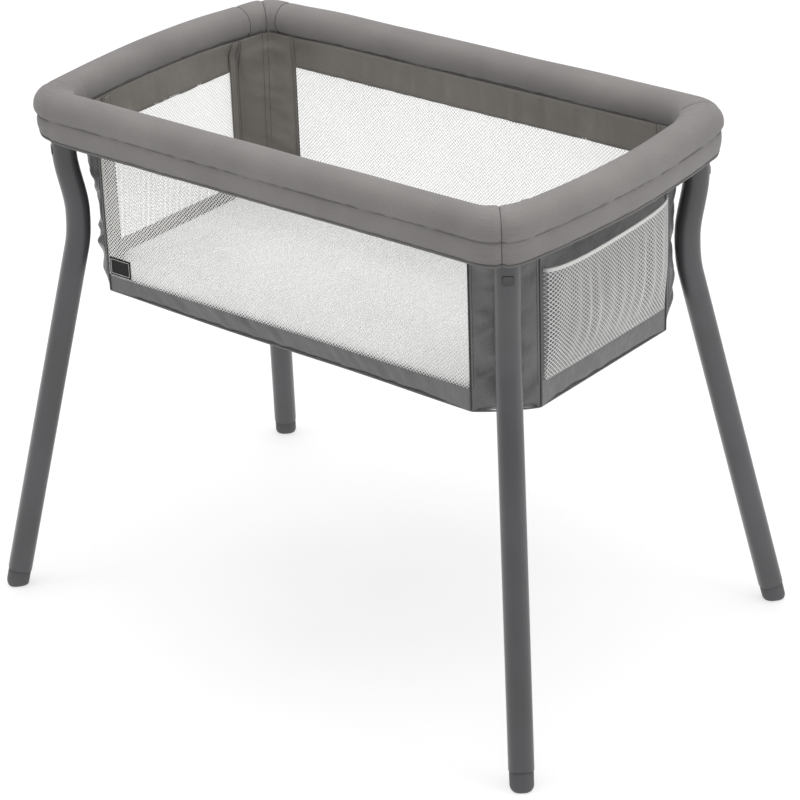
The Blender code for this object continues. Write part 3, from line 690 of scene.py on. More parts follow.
def path_mesh(name, paths):
    """Open or closed runs of points as bare edges."""
    points, edges = [], []
    for path, closed in paths:
        first = len(points)
        points += [tuple(p) for p in path]
        edges += [(first + i, first + i + 1) for i in range(len(path) - 1)]
        if closed:
            edges.append((first + len(path) - 1, first))
    mesh = bpy.data.meshes.new(name)
    mesh.from_pydata(points, edges, [])
    return mesh


def sew(name, paths, body="frame", pitch=0.0032, length=0.0022, width=0.0007):
    """Rows of stitches along paths, as one piece."""
    mesh = run_tree(
        name, path_mesh(name, paths), STITCHES, Pitch=pitch, Stitch_Length=length,
        Thread_Width=width, Thread=dark_thread,
    )
    obj = in_scene(name, mesh)
    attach(obj, body)
    print(f"{name}: {len(mesh.polygons) // 20} stitches")
    return obj


# %% [markdown]
# The long seams go all round: one in the groove between roll and skirt, and one above the hem's edge.
# The cross seams are rows of finer stitches.

# %% Rail seams


def round_the_rail(out, up):
    point = (out, up, 0.0, 0.0)
    return [cover_point(s, run, point) for s, run in zip(RAIL, RAIL_RUN)], True


sew("hem_stitches", [round_the_rail(0.0208, -0.0413)], width=0.0011)
sew("skirt_stitches", [round_the_rail(0.0219, -0.0113)], width=0.0009)


ROLL_PART = SECTION[:36]
SKIRT_PART = SECTION[-13:]
ON_CLOTH = 0.0002


def cross_path(run, section_part):
    """The line of a cross seam over a part of the cover's section."""
    nearest = min(range(len(RAIL)), key=lambda i: abs(RAIL_RUN[i] - run))
    station = RAIL[nearest]
    return [cover_point(station, RAIL_RUN[nearest], p, ON_CLOTH) for p in section_part], False


cross = [cross_path(run, ROLL_PART) for run in CROSS_SEAMS]
cross += [cross_path(run, SKIRT_PART) for run in (FRONT_RIGHT, BACK_LEFT)]
sew("cross_seam_stitches", cross, pitch=0.0022, length=0.0028, width=0.0011)
tack = [cover_point(RAIL[i], RAIL_RUN[i], SECTION[22], 0.0003) for i in (2, 3, 4)]
sew("bar_tack", [(tack, False)], pitch=0.0011, length=0.0018, width=0.0013)

# %% [markdown]
# ## The basket's walls
# The basket hangs from the rail. Its walls are strips of taffeta and net sewn edge to edge, and
# flat panels cut across its corners. At the top, the cloth leaves the flat wall and follows the
# rail's inner seam, so one function says where the wall is at any height: on the octagon below,
# on the seam at the top, and eased between them.


# %% Wall lines
def resample(points, count):
    """Evenly spaced points along a run of points."""
    run = running_length(points)
    made = []
    k = 0
    for i in range(count):
        at = run[-1] * i / (count - 1)
        while k < len(points) - 2 and run[k + 1] < at:
            k += 1
        share = (at - run[k]) / max(run[k + 1] - run[k], 1e-9)
        made.append(Vector(points[k]).lerp(Vector(points[k + 1]), min(1.0, share)))
    return made


SEAM_OUT = ROLL_R * math.cos(math.radians(INNER_SEAM_ANGLE)) - 0.0004
SEAM_LINE = [c + way * (SEAM_OUT - corner_fill(c, way) * inner_share(SEAM_OUT)) for c, way in RAIL]


def seam_between(start, stop, count):
    """The rail's inner seam, anticlockwise from nearest one plan point to nearest another."""
    a = min(range(len(SEAM_LINE)), key=lambda i: (SEAM_LINE[i] - start).length)
    b = min(range(len(SEAM_LINE)), key=lambda i: (SEAM_LINE[i] - stop).length)
    if b <= a:
        b += len(SEAM_LINE)
    return resample([SEAM_LINE[i % len(SEAM_LINE)] for i in range(a, b + 1)], count)


L, W = BASKET_HALF_LENGTH, BASKET_HALF_WIDTH
RIGHT_ENDS = (-END_HALF - 0.005, END_HALF - 0.012)
LEFT_ENDS = (-END_HALF + 0.018, END_HALF + 0.009)
FRONT_START = -SIDE_HALF + 0.008
WALLS = {
    "front": ((FRONT_START, -W), (SIDE_HALF, -W)),
    "front_right": ((SIDE_HALF, -W), (L, RIGHT_ENDS[0])),
    "right": ((L, RIGHT_ENDS[0]), (L, RIGHT_ENDS[1])),
    "back_right": ((L, RIGHT_ENDS[1]), (SIDE_HALF, W)),
    "back": ((SIDE_HALF, W), (-SIDE_HALF, W)),
    "back_left": ((-SIDE_HALF, W), (-L, LEFT_ENDS[1])),
    "left": ((-L, LEFT_ENDS[1]), (-L, LEFT_ENDS[0])),
    "front_left": ((-L, LEFT_ENDS[0]), (FRONT_START, -W)),
}
LEAVE_Z = 0.727
CORNER_LEAVE_Z = 0.60
CORNER_BULGE = {"front_right": 0.011, "back_right": 0.017, "back_left": 0.008, "front_left": 0.015}
SEAM_STEPS = 120
LINES = {}
for wall, (a, b) in WALLS.items():
    a, b = Vector((*a, 0)), Vector((*b, 0))
    LINES[wall] = (a, b, seam_between(a, b, SEAM_STEPS + 1))


def foot_shift(x):
    """The basket's foot hangs a little high at its left-hand end and low at its right-hand end."""
    return 0.0055 * ease((-x - 0.05) / 0.34) - 0.0035 * ease((x - 0.1) / 0.25)


def wall_point(wall, share, z, out=0.0):
    """A place on a wall's outer face, at a share of its length and a height, moved outwards."""
    start, stop, seam = LINES[wall]
    way = (stop - start).normalized().cross(Vector((0, 0, 1)))
    at = min(share * SEAM_STEPS, SEAM_STEPS - 1e-6)
    high = seam[int(at)].lerp(seam[int(at) + 1], at % 1)
    low = start.lerp(stop, share)
    leave = LEAVE_Z
    if "_" in wall:
        round_off = math.sin(math.pi * share) ** 0.7
        foot = 0.0045 / CORNER_BULGE[wall]
        low += way * CORNER_BULGE[wall] * round_off * (foot + (1 - foot) * ease((z - BASKET_FLOOR_Z) / 0.035))
        leave += (CORNER_LEAVE_Z - LEAVE_Z) * round_off
    plan = low.lerp(high, ease((z - leave) / (LINING_TOP_Z - leave)))
    drop = foot_shift(plan.x) * (1 - ease((z - BASKET_FLOOR_Z) / 0.030))
    return plan + way * out + Vector((0, 0, z + drop))


def wall_rows(wall, z_low, z_high, step, rise_step, wrinkle):
    """Stations along a wall, each a list of points from bottom to top on its outer face."""
    start, stop, _ = LINES[wall]
    length = (stop - start).length
    count = max(4, round(length / step) + 1)
    levels = max(2, math.ceil((z_high - z_low) / rise_step) + 1)
    rows = []
    for i in range(count):
        share = i / (count - 1)
        held = min(1.0, 8 * share, 8 * (1 - share))
        heights = [z_low + (z_high - z_low) * k / (levels - 1) for k in range(levels)]
        rows.append([wall_point(wall, share, z, wrinkle(length * share, z) * held) for z in heights])
    return rows


def cloth_piece(name, rows, thickness, flat, slot, outside, inside):
    """A sheet of cloth with two sides, with its flat size printed."""
    mesh = grid_mesh(name, two_sided(rows, thickness), tube=True)
    width = 2 * len(rows[0])
    sides = len(rows) - 1
    index = []
    for _ in range(sides):
        index += [int(width // 2 - 1 < c < width - 1) for c in range(width)]
    index += [0] * (len(mesh.polygons) - len(index))
    mesh.polygons.foreach_set("material_index", index)
    obj = place_piece(name, mesh, "frame", slot, outside, inside)
    print(f"{name}: {flat[0] * 1000:.0f} x {flat[1] * 1000:.0f} mm of cloth")
    return obj


# %% [markdown]
# The lining band under the roll is slightly gathered, so it ripples upright. The lower band is
# pulled along its length and wrinkles finely. Its foot turns under towards the floor panel.

# %% Lining bands and lower bands
CLOTH_THICKNESS = 0.0012


def gathers(seed, size):
    def wrinkle(run, z):
        free = 0.35 + 0.65 * ease((LINING_TOP_Z - z) / 0.03)
        held = 1 - 0.75 * ease((WINDOW_TOP_Z + 0.012 - z) / 0.012)
        ripple = 0.8 * wave_of(run * 42, z * 7, 0, seed) + 0.5 * wave_of(run * 105, z * 18, 0, seed + 1)
        return size * free * held * ripple

    return wrinkle


def fine_wrinkles(seed, size, foot=0.0022):
    def wrinkle(run, z):
        turned = foot * ease((BASKET_FLOOR_Z + 0.007 - z) / 0.007)
        slanted = wave_of(run * 60 + z * 55, z * 26, 0, seed)
        return size * (slanted + 0.6 * wave_of(run * 24, z * 60, 0, seed + 1)) - turned - size

    return wrinkle


lengths = {side: (LINES[side][1] - LINES[side][0]).length for side in ("front", "back", "left", "right")}
for seed, (side, length) in enumerate(lengths.items()):
    top_rows = wall_rows(side, WINDOW_TOP_Z, LINING_TOP_Z, 0.0045, 0.006, gathers(20 + seed, 0.0050))
    height = LINING_TOP_Z - WINDOW_TOP_Z
    lining = cloth_piece(
        f"lining_band_{side}", top_rows, CLOTH_THICKNESS, (length, height), "lining_taffeta",
        panel_cloth, lining_cloth,
    )
    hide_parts(f"top_band_{side}")
    top = END_BAND_TOP_Z if side == "right" else BAND_TOP_Z
    low_rows = wall_rows(side, BASKET_FLOOR_Z + 0.0006, top, 0.0045, 0.0035, fine_wrinkles(40 + seed, 0.0018))
    band = cloth_piece(
        f"lower_band_{side}", low_rows, CLOTH_THICKNESS, (length, top - BASKET_FLOOR_Z), "lining_taffeta",
        panel_cloth, lining_cloth,
    )
    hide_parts(f"bottom_band_{side}")

# %% [markdown]
# A corner panel is one flat piece of taffeta from the floor of the basket to the rail's inner
# seam. It hangs a little slack, so soft folds cross it. The folds push out less than they pull in,
# which leaves room for the leg that slides past.


# %% Corner panels
def slack_folds(seed, length, size):
    def wrinkle(run, z):
        across = math.sin(math.pi * min(1.0, run / length)) ** 0.6
        upward = 1 - ease((z - 0.725) / 0.02)
        fold = 0.8 * wave_of(run * 7 + 3, z * 30 + run * 11, 0, seed)
        fold += 0.45 * wave_of(run * 22, z * 66 - run * 20, 0, seed + 1)
        crease = max(0.0, wave_of(run * 12, z * 50 - run * 30, 5, seed + 2)) ** 1.6
        ridge = 0.0007 * math.exp(-(((run - length / 2) / 0.0022) ** 2))
        turned = 0.0022 * ease((BASKET_FLOOR_Z + 0.009 - z) / 0.009)
        out = (size * (fold + 1.3 * crease) - 0.4 * size) * across * upward
        return min(out, 0.005 * math.tanh(out / 0.005)) - turned - ridge

    return wrinkle


FOLD_SIZE = 0.0085
PANEL_OVERLAP = 0.001
corner_folds = {}
for seed, corner in enumerate(CORNERS):
    panel_width = (LINES[corner][1] - LINES[corner][0]).length
    corner_folds[corner] = slack_folds(60 + 3 * seed, panel_width, FOLD_SIZE)
    rows = wall_rows(
        corner, BASKET_FLOOR_Z + 0.0006, LINING_TOP_Z, 0.003, 0.004, corner_folds[corner]
    )
    panel = cloth_piece(
        f"corner_panel_cloth_{corner}", rows, CLOTH_THICKNESS, (panel_width, LINING_TOP_Z - BASKET_FLOOR_Z),
        "lining_taffeta", panel_cloth, lining_cloth,
    )
    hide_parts(f"corner_panel_{corner}")
end_rows = wall_rows(
    "right", END_BAND_TOP_Z - PANEL_OVERLAP, WINDOW_TOP_Z + PANEL_OVERLAP, 0.006, 0.006,
    fine_wrinkles(80, 0.0030, 0),
)
end_panel = cloth_piece(
    "end_panel_cloth", end_rows, CLOTH_THICKNESS, (lengths["right"], WINDOW_TOP_Z - END_BAND_TOP_Z),
    "lining_taffeta", panel_cloth, lining_cloth,
)
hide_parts("end_panel_right")

# %% [markdown]
# ## Bindings and piping
# Outside, a thin piping and a row of stitches mark each upright seam between a wall and a corner
# panel. Inside, a flat binding covers the seam on the end walls, with stitches down both of its
# edges, and each corner panel has a double row down its middle. A thin piping runs round the foot.


# %% Bindings
def cord_rows(points, radius, sides=8):
    """Round sections along a run of points."""
    rows = []
    for i, point in enumerate(points):
        run = Vector(points[min(i + 1, len(points) - 1)]) - Vector(points[max(i - 1, 0)])
        aside = run.cross(Vector((0, 0, 1)))
        aside = aside.normalized() if aside.length > 1e-6 else Vector((1, 0, 0))
        over = aside.cross(run).normalized()
        angles = [2 * math.pi * k / sides for k in range(sides)]
        rows.append([
            Vector(point) + aside * math.cos(t) * radius + over * math.sin(t) * radius for t in angles
        ])
    return rows


def heights(low, high, step=0.005):
    count = round((high - low) / step)
    return [low + (high - low) * i / count for i in range(count + 1)]




def on_panel(corner, share, z, out):
    """A place on a corner panel's cloth, folds and all, moved outwards from its outer face."""
    length = (LINES[corner][1] - LINES[corner][0]).length
    held = min(1.0, 8 * share, 8 * (1 - share))
    return wall_point(corner, share, z, corner_folds[corner](length * share, z) * held + out)


upright, seam_lines = [], []
outside_z = heights(BASKET_FLOOR_Z + 0.002, 0.728)
inside_z = heights(BAND_TOP_Z, LINING_TOP_Z - 0.002)
for corner, (sx, sy) in CORNERS.items():
    for end in (0, 1):
        upright.append([wall_point(corner, end, z, 0.0003) for z in outside_z])
        for out in (0.0006, -0.0018):
            seam_lines.append(([on_panel(corner, abs(end - 0.045), z, out) for z in inside_z], False))
    for share in (0.46, 0.54):
        seam_lines.append(([on_panel(corner, share, z, -0.0018) for z in inside_z], False))
cords = bpy.data.meshes.new("seam_piping")
bm = bmesh.new()
for line in upright:
    bm.from_mesh(grid_mesh("line", cord_rows(line, 0.0011, 6), tube=True))
bm.to_mesh(cords)
bm.free()
place_piece("seam_piping", cords, "frame", "lining_taffeta", tape_cloth)

wall_order = list(WALLS)
for wall in ("left", "right"):
    length = lengths[wall]
    place = wall_order.index(wall)
    before, after = wall_order[place - 1], wall_order[(place + 1) % len(wall_order)]
    for end, shares in (("first", (0.0002, 0.016)), ("last", (-0.016, -0.0002))):
        low_share, high_share = [share / length + (share < 0) for share in shares]
        rows = []
        for k in range(5):
            share = low_share + (high_share - low_share) * k / 4
            rows.append([wall_point(wall, share, z, -0.0022) for z in inside_z])
        if end == "first":
            rows.insert(0, [on_panel(before, 0.97, z, -0.0022) for z in inside_z])
        else:
            rows.append([on_panel(after, 0.03, z, -0.0022) for z in inside_z])
        mesh = grid_mesh(f"inside_binding_{wall}_{end}", two_sided(rows, 0.0009), tube=True)
        binding = place_piece(f"inside_binding_{wall}_{end}", mesh, "frame", "lining_taffeta", lining_cloth)
        for share in (low_share + 0.0015 / length, high_share - 0.0015 / length):
            seam_lines.append(([wall_point(wall, share, z, -0.0033) for z in inside_z], False))
sew("panel_seam_stitches", seam_lines, pitch=0.0036, length=0.0024, width=0.0010)

foot_line = []
for wall, (start, stop, _) in LINES.items():
    count = max(12, round((stop - start).length / 0.006))
    foot_line += [wall_point(wall, (i + 0.5) / count, BASKET_FLOOR_Z + 0.0008, -0.0020) for i in range(count)]
place_piece(
    "foot_piping", grid_mesh("foot_piping", cord_rows(foot_line + foot_line[:1], 0.0013), tube=True),
    "frame", "lining_taffeta", panel_cloth,
)
print(f"piping {running_length(foot_line, True)[-1]:.2f} m round the foot")

# %% [markdown]
# ## Net
# The windows and the pocket are a warp-knitted net with diamond holes. The real holes are finer;
# the diamonds here are 5.6 mm wide on the windows and 6.2 mm on the pocket, so that they show. A
# texture can't be seen through from both sides, so the yarn is real geometry: a mesh of diamonds,
# laid on the wall, goes into Geometry Nodes, where each diamond shrinks to a hole and what is left
# gets a thickness.


# %% Net tree
def net_tree():
    tree = bpy.data.node_groups.new("net from diamonds", "GeometryNodeTree")
    tree_input(tree, "Diamonds", "NodeSocketGeometry")
    tree_input(tree, "Hole Share", "NodeSocketFloat", 0.64)
    tree_input(tree, "Yarn Thickness", "NodeSocketFloat", 0.0008)
    tree_input(tree, "Yarn", "NodeSocketMaterial")
    tree.interface.new_socket("Net", in_out="OUTPUT", socket_type="NodeSocketGeometry")
    given = tree.nodes.new("NodeGroupInput").outputs
    result = tree.nodes.new("NodeGroupOutput")
    split = add_node(
        tree, "GeometryNodeExtrudeMesh", {"mode": "FACES"}, Mesh=given["Diamonds"], Offset_Scale=0.0,
        Individual=True,
    )
    shrunk = add_node(
        tree, "GeometryNodeScaleElements", None, Geometry=split.outputs["Mesh"],
        Selection=split.outputs["Top"], Scale=given["Hole Share"],
    )
    open_net = add_node(
        tree, "GeometryNodeDeleteGeometry", {"domain": "FACE"}, Geometry=shrunk.outputs["Geometry"],
        Selection=split.outputs["Top"],
    )
    front = add_node(
        tree, "GeometryNodeExtrudeMesh", {"mode": "FACES"}, Mesh=open_net.outputs["Geometry"],
        Offset_Scale=given["Yarn Thickness"], Individual=False,
    )
    back = add_node(tree, "GeometryNodeFlipFaces", None, Mesh=open_net.outputs["Geometry"])
    both = tree.nodes.new("GeometryNodeJoinGeometry")
    tree.links.new(front.outputs["Mesh"], both.inputs[0])
    tree.links.new(back.outputs["Mesh"], both.inputs[0])
    closed = add_node(
        tree, "GeometryNodeMergeByDistance", None, Geometry=both.outputs["Geometry"], Distance=0.00001
    )
    real = add_node(tree, "GeometryNodeRealizeInstances", None, Geometry=closed.outputs["Geometry"])
    finished = add_node(
        tree, "GeometryNodeSetMaterial", None, Geometry=real.outputs["Geometry"], Material=given["Yarn"]
    )
    tree.links.new(finished.outputs["Geometry"], result.inputs[0])
    return tree


NET = net_tree()
HALF_CELL = 0.0028
POCKET_HALF_CELL = 0.0031
WINDOW_HOLE = 0.76
POCKET_HOLE = 0.79
YARN_THICKNESS = 0.0004


def diamonds(name, width, height, place, half_cell=HALF_CELL):
    """Diamonds in staggered rows over a sheet; place gives the point for a run and a rise."""
    columns = math.floor(width / half_cell)
    rows = math.floor(height / half_cell)
    index, points, faces = {}, [], []

    def corner(i, j):
        if (i, j) not in index:
            index[i, j] = len(points)
            points.append(tuple(place(width * i / columns, height * j / rows)))
        return index[i, j]

    for j in range(1, rows):
        for i in range(1, columns):
            if (i + j) % 2:
                faces.append((corner(i - 1, j), corner(i, j - 1), corner(i + 1, j), corner(i, j + 1)))
    mesh = bpy.data.meshes.new(name)
    mesh.from_pydata(points, [], faces)
    return mesh


def net_piece(name, mesh, yarn, hole=WINDOW_HOLE):
    holes = len(mesh.polygons)
    made = run_tree(name, mesh, NET, Hole_Share=hole, Yarn_Thickness=YARN_THICKNESS, Yarn=yarn)
    obj = in_scene(name, made)
    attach(obj, "frame")
    print(f"{name}: {holes} holes, {2 * len(made.polygons)} triangles")
    return obj


# %% [markdown]
# Each window is stretched flat but gives a little in the middle. It runs from one upright piping to
# the next and laps over the lower band, so the band's edge shows as a row of small teeth.


# %% Net windows
def window_place(wall, z_low, seed):
    start, stop, _ = LINES[wall]
    along = (stop - start).normalized()
    out = along.cross(Vector((0, 0, 1)))
    length = (stop - start).length

    def place(run, rise):
        slack = 0.0016 * math.sin(math.pi * run / length) * wave_of(run * 7, rise * 12, 0, seed)
        return start + along * run + out * (slack - 0.0003) + Vector((0, 0, z_low + rise))

    return place


for seed, side in enumerate(("front", "back", "left")):
    low = BAND_TOP_Z - 0.003
    height = WINDOW_TOP_Z + 0.003 - low
    source = diamonds(f"net_source_{side}", lengths[side], height, window_place(side, low, 100 + seed))
    window = net_piece(f"net_window_{side}", source, net_yarn)
    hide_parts(f"mesh_{side}")

# %% [markdown]
# ## Net pocket
# The pocket on the right-hand end is cut wider than the wall and gathered, so it bellies out and
# falls in upright folds below its hem, which is a pale tape that sags a little between its ends.

# %% Pocket
POCKET_HALF = 0.1415
POCKET_CENTRE = sum(RIGHT_ENDS) / 2
POCKET_BULGE = 0.0215


def pocket_top(share):
    return 0.688 + 0.004 * share + 0.003 * share**2


def pocket_point(share, rise):
    """A point on the pocket, from -1 to 1 across and 0 to 1 up."""
    z_low = END_BAND_TOP_Z - 0.004
    z = z_low + (pocket_top(share) - z_low) * rise
    fullness = math.sin(math.pi / 2 * min(1.0, rise / 0.55 + 0.04))
    belly = POCKET_BULGE * fullness * math.sqrt(max(0.0, 1 - abs(share) ** 4))
    fade = ease(rise / 0.4) * (1 - abs(share) ** 6) * (1 - 0.9 * ease((rise - 0.72) / 0.24))
    folds = 0.0017 * math.sin(34 * share + 3 * wave_of(share * 2, rise, 0, 110))
    folds += 0.0016 * wave_of(share * 14, rise * 1.5, 0, 111)
    return Vector((L + 0.0014 + belly * 0.93 + folds * fade * 0.8, POCKET_CENTRE + share * POCKET_HALF, z))


hem_rows = []
for i in range(100):
    share = 2 * i / 99 - 1
    top = pocket_point(share, 1.0) + Vector((0.0006, 0, 0))
    under = pocket_point(share, 0.965) + Vector((0.0006, 0, 0))
    hem_rows.append([under.lerp(top, k / 3) for k in range(4)])
hem_mesh = grid_mesh("pocket_hem", two_sided(hem_rows, 0.0022), tube=True)
pocket_hem = place_piece("pocket_hem", hem_mesh, "frame", "window_net", pocket_tape)
pocket_height = pocket_top(0) - END_BAND_TOP_Z + 0.004
pocket_source = diamonds(
    "pocket_source", 2 * POCKET_HALF, pocket_height,
    lambda run, rise: pocket_point(run / POCKET_HALF - 1, rise / pocket_height), POCKET_HALF_CELL,
)
pocket = net_piece(
    "pocket_net_cloth", pocket_source, pocket_yarn, hole=POCKET_HOLE,
)
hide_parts("pocket_net")

# %% [markdown]
# ## Mattress
# A slab of foam in a knitted jersey cover. It is pushed a little out of its straight edges by its
# own spring, so the CAD slab is shrunk, remeshed and blown up gently by Blender's cloth solver,
# with a cap on how far any point may go.

# %% Mattress
MATTRESS_LOW, MATTRESS_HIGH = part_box("mattress")


def copy_of_node(name, node):
    """A merged copy of a CAD node's mesh as a new object."""
    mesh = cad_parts[node].data.copy()
    mesh.materials.clear()
    bm = bmesh.new()
    bm.from_mesh(mesh)
    bmesh.ops.remove_doubles(bm, verts=bm.verts, dist=0.00002)
    bm.to_mesh(mesh)
    bm.free()
    return in_scene(name, mesh)


def apply_all(obj):
    """Replaces an object's mesh with what its modifiers make of it."""
    seen = obj.evaluated_get(bpy.context.evaluated_depsgraph_get())
    made = bpy.data.meshes.new_from_object(seen, depsgraph=bpy.context.evaluated_depsgraph_get())
    obj.modifiers.clear()
    obj.data = made


COVER_INSET = 0.004
VOXEL = 0.0062
SOLVER_FRAMES = 20
mattress = copy_of_node("mattress_cover", "mattress")
middle = (MATTRESS_LOW + MATTRESS_HIGH) / 2
half = (MATTRESS_HIGH - MATTRESS_LOW) / 2
for v in mattress.data.vertices:
    for axis in range(3):
        v.co[axis] = middle[axis] + (v.co[axis] - middle[axis]) * (half[axis] - COVER_INSET) / half[axis]
remesh = mattress.modifiers.new("even quads", "REMESH")
remesh.mode = "VOXEL"
remesh.voxel_size = VOXEL
bpy.context.view_layer.update()
apply_all(mattress)
rest = [v.co.copy() for v in mattress.data.vertices]
swell = mattress.modifiers.new("foam swelling its cover", "CLOTH")
swell.settings.use_pressure = True
swell.settings.uniform_pressure_force = 4
swell.settings.effector_weights.gravity = 0
swell.settings.quality = 4
swell.point_cache.frame_start = 1
swell.point_cache.frame_end = SOLVER_FRAMES
for step in range(1, SOLVER_FRAMES + 1):
    bpy.context.scene.frame_set(step)
apply_all(mattress)
bpy.context.scene.frame_set(1)
CAP = 0.0045
moved = 0.0
for v, start in zip(mattress.data.vertices, rest):
    push = v.co - start
    if push.length > CAP:
        push = push.normalized() * CAP
    v.co = start + push
    dimple = 0.0011 * wave_of(v.co.x * 11, v.co.y * 13, 0, 120)
    if v.co.z > middle.z:
        v.co.z += dimple
    v.co.x = min(max(v.co.x, MATTRESS_LOW.x), MATTRESS_HIGH.x)
    v.co.y = min(max(v.co.y, MATTRESS_LOW.y), MATTRESS_HIGH.y)
    v.co.z = min(max(v.co.z, MATTRESS_LOW.z), MATTRESS_HIGH.z + 0.002)
    moved = max(moved, (v.co - start).length)
flat_uv = mattress.data.uv_layers.new(name="cloth")
for loop in mattress.data.loops:
    point = mattress.data.vertices[loop.vertex_index].co
    flat_uv.data[loop.index].uv = (point.x, point.y + point.z)
mattress.data.materials.append(jersey)
mattress.data.shade_smooth()
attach(mattress, "mattress")
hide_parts("mattress")
print(f"mattress: {len(mattress.data.vertices)} points, moved up to {moved * 1000:.1f} mm")

# %% [markdown]
# ## Floor of the basket
# Under the board the basket has a taffeta floor that sags a hair between its edges.

# %% Basket floor
floor_rows = []
for i in range(81):
    x = (L - 0.003) * (2 * i / 80 - 1)
    reach = min(W - 0.003, L + END_HALF - 0.022 - abs(x))
    row = []
    for k in range(41):
        y = reach * (2 * k / 40 - 1)
        ripple = 0.0003 * wave_of(x * 20, y * 20, 0, 130)
        row.append(Vector((x, y, BASKET_FLOOR_Z + 0.0018 + ripple + foot_shift(x))))
    floor_rows.append(row)
floor_cloth = cloth_piece(
    "basket_floor_cloth", floor_rows, 0.0012, (2 * L, 2 * W), "lining_taffeta", lining_cloth, panel_cloth
)
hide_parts("basket_floor")

# %% [markdown]
# ## Legs
# Each leg is one steel tube of soft-square section, bent twice near the top and then straight to
# the floor. It is lofted from many sections along its centre line, in the leg's own frame, and
# turned to its corner. A window is cut for the push-button with an exact Boolean.

# %% Leg line
LEG_HALF = 0.0178
LEG_INSIDE = 0.0160
LEG_SPLAY = math.radians(49.5)
LEG_LEAN = 0.247
LEG_TOP_Z = ROLL_Z - 0.028
STRAIGHT_TOP_Z = LEG_TOP_Z - 0.197
KNEE_Z = LEG_TOP_Z - 0.139
SOCKET_END_Z = LEG_TOP_Z - 0.045
KNEE_INSET = 0.0120
FOOT_REACH = LEG_LEAN * STRAIGHT_TOP_Z - 0.0062
FOOT_TOP_Z = 0.027
LEG_OFFSET = HEM_CORNER_R - 0.0116 - LEG_HALF
LEG_TOP_X = CORNER_X + LEG_OFFSET * math.cos(math.radians(28.3))
LEG_TOP_Y = CORNER_Y + LEG_OFFSET * math.sin(math.radians(28.3))
BUTTON_Z = LEG_TOP_Z - 0.042


def bend(low, high, count):
    """Stations (reach, height, slope) between two that are given, with a smooth bend."""
    (r0, z0, m0), (r1, z1, m1) = low, high
    span = z1 - z0
    made = []
    for i in range(1, count + 1):
        t = i / count
        reach = (2 * t**3 - 3 * t**2 + 1) * r0 + (t**3 - 2 * t**2 + t) * span * m0
        reach += (3 * t**2 - 2 * t**3) * r1 + (t**3 - t**2) * span * m1
        slope = (6 * t**2 - 6 * t) * (r0 - r1) / span + (3 * t**2 - 4 * t + 1) * m0
        slope += (3 * t**2 - 2 * t) * m1
        made.append((reach, z0 + span * t, slope))
    return made


def straight_reach(z):
    return FOOT_REACH - LEG_LEAN * z


knee_start = (straight_reach(STRAIGHT_TOP_Z), STRAIGHT_TOP_Z, -LEG_LEAN)
knee = (-KNEE_INSET, KNEE_Z, 0.0)
socket_end = (0.0, SOCKET_END_Z, 0.0)
LEG_LINE = []
for i in range(12):
    z = FOOT_TOP_Z + (STRAIGHT_TOP_Z - FOOT_TOP_Z) * i / 11
    LEG_LINE.append((straight_reach(z), z, -LEG_LEAN))
LEG_LINE += bend(knee_start, knee, 14) + bend(knee, socket_end, 18) + [(0.0, LEG_TOP_Z, 0.0)]


def soft_square(half, power, count):
    """Points round a section between a circle and a square."""
    made = []
    for i in range(count):
        t = 2 * math.pi * i / count
        c, s = math.cos(t), math.sin(t)
        a = half * math.copysign(abs(c) ** (2 / power), c)
        b = half * math.copysign(abs(s) ** (2 / power), s)
        made.append((a, b))
    return made


def leg_frame(sx, sy):
    azimuth = math.atan2(sy * math.sin(LEG_SPLAY), sx * math.cos(LEG_SPLAY))
    return Matrix.Translation((sx * LEG_TOP_X, sy * LEG_TOP_Y, 0)) @ Matrix.Rotation(azimuth, 4, "Z")


def leg_ring(place, half, reach, height, slope, count=40):
    across = Vector((1, 0, -slope)).normalized()
    centre = Vector((reach, 0, height))
    points = soft_square(half, 2.5, count)
    return [place @ (centre + across * a + Vector((0, b, 0))) for a, b in points]


print(f"{len(LEG_LINE)} stations from the foot to the socket")

# %% [markdown]
# ## Leg tubes and buttons
# A leg is an open pipe, so it is lofted from an outer and an inner row of rings, joined at both
# ends. The button shows in a round-cornered window. A Boolean cuts that window cleanly, where
# modelling its edge by hand would disturb the loft. The button's face is slightly domed.

# %% Leg tubes and buttons
def pipe_mesh(name, outer, inner):
    """A pipe with a wall, from matching outer and inner rings."""
    rows = list(outer) + list(reversed(inner))
    return grid_mesh(name, rows, ring=True, tube=True)


def plate(name, place, half_w, half_h, radius, levels):
    """A round-cornered block across the leg; levels are (reach, how much smaller) pairs."""
    rows = []
    for reach, less in levels:
        row = []
        for k, (qx, qz) in enumerate(((1, 1), (-1, 1), (-1, -1), (1, -1))):
            for i in range(9):
                t = math.pi / 2 * (k + i / 8)
                r = max(radius - less, 0.0004)
                y = qx * (half_w - radius) + r * math.cos(t)
                z = qz * (half_h - radius) + r * math.sin(t)
                row.append(place @ Vector((reach, y, BUTTON_Z + z)))
        rows.append(row)
    return grid_mesh(name, rows, tube=True)


# Half-width, half-height and corner radius
WINDOW = (0.0080, 0.0070, 0.0033)
BUTTON = (0.0075, 0.0065, 0.0030)
